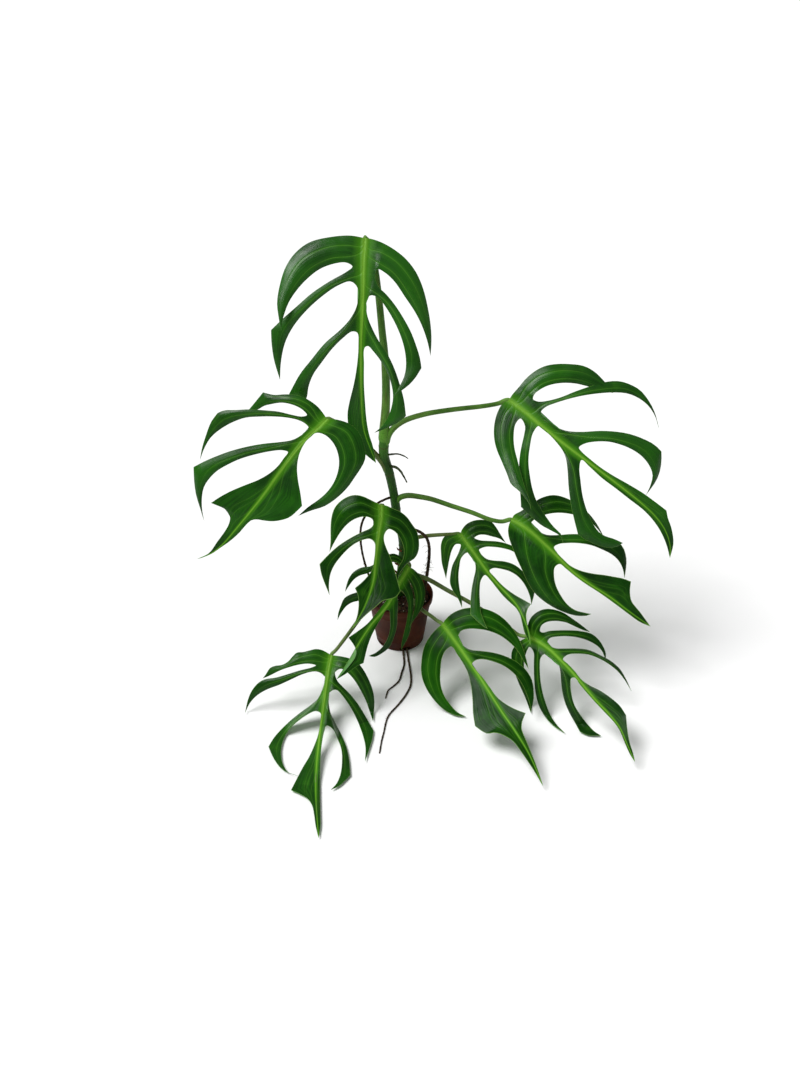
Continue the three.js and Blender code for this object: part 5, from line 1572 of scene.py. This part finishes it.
@dataclass(frozen=True)
class ChipStyle:
    """One kind of chip strewn on the soil: how many, how large and of what shape."""

    name: str
    density: float
    smallest: float
    largest: float
    shape: Triple
    roughness: float
    sink: float
    seed: int


class ChipTree(ShapeTree):
    """Strews rough chips over a surface."""

    title = "chips_on_soil"
    sockets = {
        "Density": "Float", "Smallest": "Float", "Largest": "Float", "Shape": "Vector",
        "Roughness": "Float", "Sink": "Float", "Seed": "Int",
    }

    def draw(self, pen: NodePen, inputs: Sockets) -> Socket:
        """Draws the strewn lumps and their rough skin."""
        seed = inputs["Seed"]
        points = pen.node("GeometryNodeDistributePointsOnFaces", {
            "Mesh": inputs["Geometry"], "Density": inputs["Density"], "Seed": seed,
        }, distribute_method="RANDOM")
        lump = pen.node("GeometryNodeMeshIcoSphere", {"Radius": 1.0, "Subdivisions": 1})
        stretched = pen.node("GeometryNodeTransform", {
            "Geometry": lump.outputs[0], "Scale": inputs["Shape"],
        })
        turned = pen.node("FunctionNodeRandomValue", {
            "Min": (-0.5, -0.5, 0.0), "Max": (0.5, 0.5, 6.283), "Seed": seed,
        }, data_type="FLOAT_VECTOR")
        sized = pen.node("FunctionNodeRandomValue", {
            2: inputs["Smallest"], 3: inputs["Largest"], "Seed": seed,
        }, data_type="FLOAT")
        strewn = pen.node("GeometryNodeInstanceOnPoints", {
            "Points": pen.shift(points.outputs[0], pen.vector(0.0, 0.0, inputs["Sink"])),
            "Instance": stretched.outputs[0], "Rotation": turned.outputs[0],
            "Scale": sized.outputs[1],
        })
        plain = pen.node("GeometryNodeRealizeInstances", {0: strewn.outputs[0]})
        rough = pen.node("ShaderNodeTexNoise", {
            "Vector": pen.node("GeometryNodeInputPosition").outputs[0], "Scale": 320.0,
            "Detail": 1.0,
        })
        centred = pen.node("ShaderNodeVectorMath", {
            0: rough.outputs[1], 1: (0.5, 0.5, 0.5),
        }, operation="SUBTRACT")
        push = pen.node("ShaderNodeVectorMath", {
            0: centred.outputs[0], "Scale": inputs["Roughness"],
        }, operation="SCALE")
        return pen.shift(plain.outputs[0], push.outputs[0])

    def strew(self, surface: Mesh, style: ChipStyle, finish: Material) -> Object:
        """Strews one kind of chip.

        Args:
            surface: the faces that the chips lie on.
            style: the kind of chip.
            finish: its material.

        Returns:
            The chips as one plain mesh object.
        """
        return self.run(style.name, surface.copy(), {
            "Density": style.density, "Smallest": style.smallest * MM,
            "Largest": style.largest * MM, "Shape": style.shape,
            "Roughness": style.roughness * MM, "Sink": style.sink * MM, "Seed": style.seed,
            "Finish": finish,
        })


# ---- The plant's pieces ----


@dataclass(frozen=True)
class LeafLook:
    """A leaf's tone with painted shade, gloss, width of pale margin in millimetres, and stalk
    finish.
    """

    tone_and_shade: float
    shine: float
    pale_margin: float
    stalk: str = "stalk_olive"


# The first value darkens a leaf's green: partly its own tone, partly painted shade for leaves that
# sit in shade.
LEAF_LOOKS: dict[str, LeafLook] = {
    "leaf_a": LeafLook(0.5, 1.15, 0.15, "stalk_green"),
    "leaf_b": LeafLook(0.0, 0.83, 0.2),
    "leaf_c": LeafLook(0.2, 0.96, 0.35, "stalk_green"),
    "leaf_d": LeafLook(-0.4, 0.58, 0.8, "stalk_green"),
    "leaf_e": LeafLook(-0.6, 0.45, 1.0),
    "leaf_f": LeafLook(0.0, 0.83, 0.7),
    "leaf_g": LeafLook(-0.3, 0.3, 0.7),
    "leaf_h": LeafLook(-1.0, 0.45, 0.4),
    "leaf_i": LeafLook(-0.1, 0.77, 0.3),
    "leaf_j": LeafLook(-0.4, 0.58, 0.3),
}


@dataclass
class Leaf:
    """One leaf: its blade, and the stalk that runs on under the blade as its rib."""

    name: str
    drawing: LeafDrawing
    number: int
    look: LeafLook
    stalk_finish: Material
    blade_finishes: tuple[Material, ...]
    tubes: TubeTree
    form: BladeForm = BladeForm()
    rib_proud: float = 0.2
    rib_sunk: float = 0.3
    rib_end: float = 0.9
    sheath_flare: float = 1.5
    sheath_share: float = 0.16
    base_growth: float = 0.22
    knuckle_swell: float = 0.14

    def build(self) -> None:
        """Builds and dresses the blade and the stalk."""
        self.build_blade()
        self.build_stalk()

    def build_blade(self) -> None:
        """Weaves the blade, gives it its thickness and dresses it."""
        sheet = BladeSheet(self.drawing, self.form, self.number)
        mesh = sheet.mesh(self.name, self.look)
        piece = new_object(self.name + "_blade", mesh)
        for finish in self.blade_finishes:
            piece.data.materials.append(finish)
        solid = piece.modifiers.new("thickness", "SOLIDIFY")
        solid.thickness = self.form.thickness * MM
        solid.offset = -1
        solid.use_quality_normals = True
        solid.material_offset = 1
        solid.material_offset_rim = 2
        apply_modifiers(piece)
        piece.data.shade_smooth()
        piece.data.set_sharp_from_angle(angle=math.radians(50))
        dress(piece, "leaf", self.name)

    def build_stalk(self) -> None:
        """Draws the stalk from the stem to the blade and on along the rib."""
        start, end = self.drawing.radii
        points = [PLANE.place(point.place) for point in read_points(self.drawing.stalk)]
        rib = RibLine(self.drawing.rib)
        stalk_spans = len(points)
        for share in (*RIB_SHARES, self.rib_end):
            spot = rib.at(share)
            low = PLANE.near_at_height(spot[1], self.form.floor_clearance)
            radius = self.rib_radius(share)
            near = max(spot[2], low) - radius + (self.rib_proud if share < 0.1 else -self.rib_sunk)
            points.append(PLANE.place((spot[0], spot[1], near)))
        path = smooth_curve(points, 6)
        radii, marks = [], []
        turn = stalk_spans * 6
        for step in range(len(path)):
            if step <= turn:
                share = step / turn
                knuckle = math.exp(-((share - 0.96) / 0.06) ** 2)
                swell = self.swell(share) + self.knuckle_swell * knuckle
                radii.append((start + (end - start) * share) * swell * MM)
                marks.append(knuckle)
            else:
                share = self.rib_end * (step - turn) / (len(path) - 1 - turn)
                radii.append(self.rib_radius(share) * MM)
                marks.append(0.8)
        style = TubeStyle(18, 0.004, knobble=0.0003, knobble_scale=90.0, seed=self.number)
        strand = Strand(path, radii, marks)
        piece = self.tubes.tube(self.name + "_stalk", [strand], self.stalk_finish, style)
        dress(piece, "stem")

    def swell(self, share: float) -> float:
        """How much thicker than its plain taper the stalk is at a share of its length."""
        sheath = (self.sheath_flare - 1) * max(0.0, 1 - share / self.sheath_share) ** 1.2
        full = 1 + self.base_growth * (1 - share) + sheath
        return full * (0.35 + 0.65 * smooth_step(-0.01, 0.05, share))

    def rib_radius(self, share: float) -> float:
        """The rib's radius at a share of its length, in millimetres."""
        start = self.drawing.radii[1]
        return start + (self.form.rib_end_radius - start) * share ** self.form.rib_taper


@dataclass
class Stem:
    """The thick green stem, with a ring at each node, and its husks and root tips."""

    tubes: TubeTree
    finish: Material
    husk_finish: Material
    tip_finish: Material
    nodes: tuple[float, ...] = (446.0, 474.0, 509.0, 527.0, 545.0, 562.0, 578.0)
    node_swell: float = 0.7
    node_width: float = 1.5
    husks: tuple[Triple, ...] = (
        (549.0, -2.5, 12.0), (549.0, -2.1, 8.0), (550.0, -1.2, 8.0), (563.0, -2.4, 12.0),
        (564.0, -1.9, 9.0), (565.0, -2.9, 12.0), (571.0, -2.6, 14.0), (572.0, -2.1, 11.0),
        (573.0, -3.0, 12.0), (576.0, -1.4, 10.0), (530.0, -0.4, 6.0),
    )
    tips: tuple[Triple, ...] = (
        (549.0, -2.7, 7.0), (551.0, -0.9, 9.0), (564.0, -2.5, 7.0), (566.0, -0.7, 8.0),
    )
    style: TubeStyle = TubeStyle(
        sides=40, spacing=0.0015, knobble=0.0007, knobble_scale=45.0, seed=4.0
    )

    def build(self) -> None:
        """Draws the stem, its husks and its root tips, and dresses them."""
        drawn = [point.place for point in read_points(STEM_PATH)]
        points = [PLANE.place(point) for point in drawn]
        foot = points[-1]
        points.append(Vector((foot.x, foot.y, STEM_FOOT * MM)))
        path = smooth_curve(points, 12)
        heights = [point.y for point in smooth_curve(drawn, 12)]
        radii = spread_radii((*STEM_RADII, STEM_FOOT_RADIUS), len(path))
        marks = []
        for index in range(len(path)):
            height = heights[min(index, len(heights) - 1)]
            off = min(abs(height - node) for node in self.nodes) * PLANE.square
            ring = math.exp(-(off / self.node_width) ** 2)
            radii[index] += self.node_swell * ring * MM
            marks.append(ring)
        strand = Strand(path, radii, marks)
        piece = self.tubes.tube("stem_skin", [strand], self.finish, self.style)
        dress(piece, "stem", "stem")
        self.build_spikes("stem_husks", self.husks, 1.7, self.husk_finish, path, heights)
        self.build_spikes("stem_root_tips", self.tips, 0.7, self.tip_finish, path, heights)

    def build_spikes(
        self, name: str, spikes: tuple[Triple, ...], radius: float,
        finish: Material, path: Line, heights: list[float],
    ) -> None:
        """Draws short tapered spikes on the stem's skin.

        Args:
            name: the piece's name.
            spikes: the drawn y, the turn round the stem and the length of each spike.
            radius: their radius at the root, in millimetres.
            finish: their material.
            path: the stem's centre line.
            heights: the drawn y of each of its steps.
        """
        strands = []
        for height, turn, length in spikes:
            step = min(range(len(heights)), key=lambda index: abs(heights[index] - height))
            centre = path[step]
            out = Vector((math.cos(turn), math.sin(turn), 0.0))
            start = centre + out * 7.6 * MM
            bend = start + (out * 0.5 + Vector((0, 0, 0.45))) * length * MM
            end = start + (out * 0.75 + Vector((0, 0, 1.0))) * length * MM
            line = smooth_curve([start, bend, end], 4)
            strands.append(Strand(line, spread_radii((radius, radius, 0.2), len(line))))
        style = TubeStyle(sides=10, spacing=0.001, knobble=0.0006, knobble_scale=400.0, seed=3.0)
        dress(self.tubes.tube(name, strands, finish, style), "root")


def spread_radii(radii: Iterable[float], count: int) -> list[float]:
    """Radii at equal shares of a path, in metres, from a few in millimetres."""
    given = list(radii)
    places = np.linspace(0, len(given) - 1, count)
    return (np.interp(places, np.arange(len(given)), given) * MM).tolist()


HAIRS: dict[str, tuple[int, float]] = {
    "root_air_left": (6, 6.0), "root_air_right": (26, 24.0),
    "root_trailing_short": (4, 4.0), "root_trailing_long": (6, 4.0),
}


@dataclass
class Roots:
    """The aerial roots and the roots that trail from the pot's drain slots."""

    tubes: TubeTree
    finish: Material
    hair_finish: Material
    young_finish: Material
    young: tuple[str, ...] = ("root_air_upper", "root_air_middle")
    young_growth: float = 1.25
    base_radius: float = 48.0
    rest: float = 0.4
    slot_height: float = 5.0
    slot_rise: float = 6.0
    slot_share: float = 0.2

    def path(self, root: RootDrawing) -> Line:
        """A root's points in space, in metres."""
        drawn = [point.place for point in read_points(root.path)]
        if root.start is None:
            points = [PLANE.place(point) for point in drawn]
            if root.soil_depth:
                last = points[-1]
                points.append(Vector((last.x, last.y, (PLANE.soil_top - root.soil_depth) * MM)))
            return points
        points = []
        for share, point in zip(np.linspace(0, 1, len(drawn)), drawn):
            height = root.radii[0] + (root.radii[1] - root.radii[0]) * share + self.rest
            near = PLANE.near_at_height(point.y, height)
            points.append(PLANE.place((point.x, point.y, near)))
        x, y = root.start
        inside = Vector((x, y, self.slot_height + self.slot_rise)) * MM
        doorway = Vector((x, -self.base_radius, self.slot_height)) * MM
        return [inside, doorway, *points[round(len(drawn) * self.slot_share):]]

    def build(self) -> None:
        """Draws each root and its hairs, and dresses them."""
        hairs: list[Strand] = []
        for number, (name, root) in enumerate(ROOTS.items()):
            path = smooth_curve(self.path(root), 8)
            radii = spread_radii(root.radii, len(path))
            style = TubeStyle(14, 0.0012, knobble=0.0016, knobble_scale=210.0, seed=number)
            finish = self.finish
            if name in self.young:
                radii = [radius * self.young_growth for radius in radii]
                finish = self.young_finish
            piece = self.tubes.tube(name + "_skin", [Strand(path, radii)], finish, style)
            dress(piece, "root", name)
            count, longest = HAIRS.get(name, (0, 0.0))
            hairs.extend(self.grow_hairs(path, radii, count, longest, number))
        style = TubeStyle(sides=5, spacing=0.0012)
        dress(self.tubes.tube("root_hairs", hairs, self.hair_finish, style), "root")

    @staticmethod
    def grow_hairs(
        path: Line, radii: list[float], count: int, longest: float, seed: int
    ) -> list[Strand]:
        """Grows fine crooked hairs from the lower part of a root.

        Args:
            path: the root's centre line.
            radii: its radii.
            count: the number of hairs.
            longest: the longest hair, in millimetres.
            seed: the seed of their places.

        Returns:
            The hairs.
        """
        rng = random.Random(100 + seed)
        hairs = []
        for _ in range(count):
            step = int(len(path) * rng.triangular(0.42, 0.86, 0.74))
            side = rng.triangular(-1, 1, -0.7)
            out = Vector((side, rng.uniform(-0.7, 0.4), rng.uniform(-0.6, 0.2))).normalized()
            length = longest * rng.uniform(0.3, 1.0) * MM
            spot = path[step] + out * radii[step] * 0.6
            line = [spot]
            for _ in range(5):
                turn = Vector([rng.uniform(-1, 1) for _ in range(3)])
                out = (out + turn * 0.5 + Vector((0, 0, -0.12))).normalized()
                spot = spot + out * length / 5
                spot.z = max(spot.z, 0.8 * MM)
                line.append(spot)
            line = smooth_curve(line, 3)
            thick = rng.uniform(0.3, 0.5)
            hairs.append(Strand(line, spread_radii((thick, thick * 0.7, 0.2), len(line))))
        return hairs


def finish_shape(name: str, shape: bmesh.types.BMesh) -> Mesh:
    """Makes a shape a mesh and frees it."""
    mesh = bpy.data.meshes.new(name)
    shape.to_mesh(mesh)
    shape.free()
    return mesh


def lathe(name: str, profile: list[Pair], segments: int) -> Mesh:
    """Turns a closed profile round the Z axis.

    Args:
        name: the mesh's name.
        profile: radius and height of each point, in millimetres, from axis to axis.
        segments: the number of steps round.

    Returns:
        The closed mesh, in metres, with its faces outwards.
    """
    shape = bmesh.new()
    rings = []
    for radius, height in profile:
        ring = []
        for step in range(segments if radius > 0 else 1):
            turn = 2 * math.pi * step / segments
            place = Vector((radius * math.cos(turn), radius * math.sin(turn), height)) * MM
            ring.append(shape.verts.new(place))
        rings.append(ring)
    for low, high in zip(rings, rings[1:]):
        for step in range(segments):
            after = (step + 1) % segments
            if len(low) == 1:
                shape.faces.new((low[0], high[after], high[step]))
            elif len(high) == 1:
                shape.faces.new((low[step], low[after], high[0]))
            else:
                shape.faces.new((low[step], low[after], high[after], high[step]))
    bmesh.ops.recalc_face_normals(shape, faces=shape.faces)
    return finish_shape(name, shape)


SLOT_CORNERS = 16
SLOT_DEPTHS = (38.0, 58.0)
SLOT_SINK = 0.2


@dataclass
class Pot:
    """The tapered nursery pot with its rolled lip and drain slots. Millimetres."""

    finish: Material
    rim_radius: float = 66.0
    base_radius: float = 48.0
    height: float = 112.0
    wall: float = 1.6
    floor: float = 2.2
    rim_depth: float = 12.0
    overhang: float = 4.1
    segments: int = 144
    slots: int = 6
    slot_width: float = 22.0
    slot_height: float = 8.0
    first_slot: float = -78.0
    step_heights: tuple[float, ...] = (22.0, 84.0)

    def radius_at(self, height: float) -> float:
        """The wall's outer radius at a height."""
        top = self.height - self.rim_depth
        share = (height - 2.0) / (top - 2.0)
        return self.base_radius + (self.rim_radius - self.overhang - self.base_radius) * share

    def profile(self) -> list[Pair]:
        """The pot's section, from under its floor up the outside and down the inside."""
        top = self.height - self.rim_depth
        rim, high = self.rim_radius, self.height
        outer = [(0.0, 0.9), (36.0, 0.9), (38.0, 0.2), (39.0, 0.0), (45.6, 0.0), (47.2, 0.5)]
        outer += [(48.0, 2.0)]
        for step in self.step_heights:
            base = self.radius_at(step)
            outer += [(base, step - 0.5), (base + 0.35, step), (base + 0.35, step + 1.6)]
            outer += [(self.radius_at(step + 2.4), step + 2.4)]
        lip = [
            (self.radius_at(top - 1.2), top - 1.2), (self.radius_at(top) + 0.5, top - 0.2),
            (rim - 1.2, top), (rim - 0.7, top + 0.6), (rim - 0.2, top + 6), (rim, high - 1.4),
            (rim - 0.3, high - 0.5), (rim - 1.1, high), (rim - 2.4, high), (rim - 3.1, high - 0.4),
            (rim - 3.5, high - 1.6),
        ]
        floor = self.base_radius - self.wall
        inner = [
            (self.radius_at(top) - self.wall + 0.7, top + 1),
            (self.radius_at(top) - self.wall, top - 1),
            (floor, self.floor + 2.2), (floor - 0.7, self.floor + 0.7), (floor - 2.2, self.floor),
            (0.0, self.floor),
        ]
        return outer + lip + inner

    def build(self) -> None:
        """Turns the pot, cuts its slots and dresses it."""
        piece = new_object("pot_shell", lathe("pot_shell", self.profile(), self.segments))
        cutters = []
        for slot in range(self.slots):
            turn = math.radians(self.first_slot) + 2 * math.pi * slot / self.slots
            cutters.append(self.add_slot(piece, turn, slot))
        apply_modifiers(piece)
        for cutter in cutters:
            bpy.data.objects.remove(cutter)
        piece.data.materials.clear()
        piece.data.materials.append(self.finish)
        piece.data.shade_smooth()
        piece.data.set_sharp_from_angle(angle=math.radians(38))
        dress(piece, "pot", "pot")

    def add_slot(self, piece: Object, turn: float, number: int) -> Object:
        """Adds the cut of one drain slot, with rounded ends."""
        shape = bmesh.new()
        half = self.slot_height / 2
        outline = []
        for corner in range(SLOT_CORNERS):
            angle = 2 * math.pi * corner / SLOT_CORNERS
            side = self.slot_width / 2 - half
            across = math.copysign(side, math.cos(angle)) + math.cos(angle) * half
            lift = math.sin(angle) * half + self.floor + half - SLOT_SINK
            outline.append((across, lift))
        rings = []
        for depth in SLOT_DEPTHS:
            rings.append([
                shape.verts.new(Matrix.Rotation(turn, 3, "Z") @ Vector((depth, across, lift)) * MM)
                for across, lift in outline
            ])
        near, far = rings
        shape.faces.new(near)
        shape.faces.new(far)
        for corner in range(SLOT_CORNERS):
            after = (corner + 1) % SLOT_CORNERS
            shape.faces.new((near[corner], near[after], far[after], far[corner]))
        bmesh.ops.recalc_face_normals(shape, faces=shape.faces)
        name = f"slot_{number}"
        cutter = new_object(name, finish_shape(name, shape))
        cutter.hide_render = True
        cut = piece.modifiers.new(name, "BOOLEAN")
        cut.operation = "DIFFERENCE"
        cut.solver = "EXACT"
        cut.object = cutter
        return cutter


@dataclass
class Soil:
    """The bark mix that fills the pot: a rough heap, chips, moss and white grains."""

    finish: Material
    chips: Material
    moss: Material
    grains: Material
    floor: float = 2.6
    floor_radius: float = 45.0
    top_radius: float = 59.6
    top: float = 105.0
    heap: float = 3.0
    roughness: float = 2.2
    rings: int = 26
    segments: int = 96

    def build(self) -> None:
        """Builds the heap and what lies on it, and dresses them."""
        wide = self.top_radius
        profile = [
            (0.0, self.floor), (self.floor_radius - 2, self.floor),
            (self.floor_radius, self.floor + 3), (wide - 1.2, 92.0), (wide, 99.0),
            (wide, self.top - 4.5),
        ]
        for ring in range(1, self.rings):
            share = 1 - ring / self.rings
            edge = -3.0 * smooth_step(0.86, 1.0, share)
            profile.append((wide * share, self.top + self.heap * (1 - share) + edge))
        profile.append((0.0, self.top + self.heap))
        mesh = lathe("soil_heap", profile, self.segments)
        for vertex in mesh.vertices:
            if vertex.co.z > 0.1:
                place = vertex.co / MM
                low = noise.noise(place / 11.0)
                high = noise.noise(place / 3.6 + Vector((9, 0, 0)))
                vertex.co.z += (low + 0.6 * high) * self.roughness * MM
        mesh.materials.append(self.finish)
        piece = new_object("soil_heap", mesh)
        mesh.shade_smooth()
        dress(piece, "soil", "soil")
        surface = self.top_faces(mesh)
        tree = ChipTree()
        for style, finish in (
            (ChipStyle("bark_chips", 52000, 1.2, 3.4, (1.7, 1.0, 0.5), 1.6, 0.4, 3), self.chips),
            (ChipStyle("bark_crumbs", 90000, 0.6, 1.5, (1.3, 1.0, 0.7), 1.0, 0.3, 5), self.finish),
            (ChipStyle("moss_tufts", 9000, 0.8, 2.0, (1.2, 1.0, 0.6), 1.8, 0.9, 8), self.moss),
            (ChipStyle("white_grains", 5200, 0.7, 1.5, (1.1, 1, 0.8), 0.6, 1.1, 11), self.grains),
        ):
            dress(tree.strew(surface, style, finish), "soil")

    def top_faces(self, mesh: Mesh) -> Mesh:
        """A copy of the heap's upper faces, clear of the pot's wall."""
        shape = bmesh.new()
        shape.from_mesh(mesh)
        reach = (self.top_radius - 3.5) * MM
        drop = [
            f for f in shape.faces
            if f.normal.z < 0.3 or f.calc_center_median().xy.length > reach
            or f.calc_center_median().z < 0.1
        ]
        bmesh.ops.delete(shape, geom=drop, context="FACES")
        return finish_shape("soil_top", shape)


# ---- The studio ----


@dataclass(frozen=True)
class Studio:
    """A plain pale floor, one wide soft light, an even sky and the camera at the drawing's eye."""

    floor_half: float = 14.0
    floor_colour: Triple = (0.86, 0.86, 0.86)
    sky_strength: float = 0.32
    key_from: Triple = (-0.58, -0.1, 1.0)
    key_strength: float = 3.4
    key_angle: float = 30.0
    sensor: float = 36.0
    view_end: float = 60.0

    def build(self) -> None:
        """Builds the floor, the lights and the camera."""
        self.build_floor()
        self.build_light()
        self.build_camera()
        bpy.context.scene.view_settings.view_transform = "Standard"

    def build_floor(self) -> None:
        """Lays a large plain floor."""
        corners = [(x * self.floor_half, y * self.floor_half, 0)
                   for x, y in ((-1, -1), (1, -1), (1, 1), (-1, 1))]
        mesh = bpy.data.meshes.new("floor")
        mesh.from_pydata(corners, [], [(0, 1, 2, 3)])
        mesh.materials.append(PlainFinish(self.floor_colour).make("floor_white"))
        new_object("floor", mesh)

    def build_light(self) -> None:
        """Adds the sky and the key light."""
        world = bpy.data.worlds.new("studio")
        bpy.context.scene.world = world
        world.use_nodes = True
        sky = world.node_tree.nodes["Background"].inputs
        sky["Color"].default_value = (1.0, 1.0, 1.0, 1.0)
        sky["Strength"].default_value = self.sky_strength
        data = bpy.data.lights.new("key", "SUN")
        data.energy = self.key_strength
        data.angle = math.radians(self.key_angle)
        new_object("key", data).rotation_euler = (
            Vector(self.key_from).to_track_quat("Z", "Y").to_euler()
        )

    def build_camera(self) -> None:
        """Puts the camera at the drawing's eye."""
        data = bpy.data.cameras.new("camera")
        camera = new_object("camera", data)
        towards = PLANE.towards_eye
        camera.location = (PLANE.origin + towards * PLANE.eye_distance) * MM
        camera.rotation_mode = "QUATERNION"
        camera.rotation_quaternion = (-towards).to_track_quat("-Z", "Y")
        data.sensor_fit = "VERTICAL"
        data.sensor_width = data.sensor_height = self.sensor
        data.lens = self.sensor * PLANE.eye_distance / (PLANE.picture_height * PLANE.square)
        data.clip_end = self.view_end
        bpy.context.scene.camera = camera


def main() -> None:
    """Builds the plant and its studio, piece by piece."""
    logging.basicConfig(level=logging.INFO, format="%(name)s: %(message)s")
    Studio().build()
    tubes = TubeTree()
    made = {name: finish.make(name) for name, finish in FINISHES.items()}
    blade = (made["leaf_upper"], made["leaf_under"], made["leaf_rim"])
    for number, (name, drawing) in enumerate(LEAVES.items(), 1):
        look = LEAF_LOOKS[name]
        Leaf(name, drawing, number, look, made[look.stalk], blade, tubes).build()
    Stem(tubes, made["stem_green"], made["papery_husk"], made["root_tip"]).build()
    Roots(tubes, made["root_brown"], made["root_hair"], made["root_young"]).build()
    Pot(made["pot_plastic"]).build()
    Soil(made["bark_mix"], made["bark_chip"], made["moss"], made["white_grain"]).build()


if __name__ == "__main__":
    main()
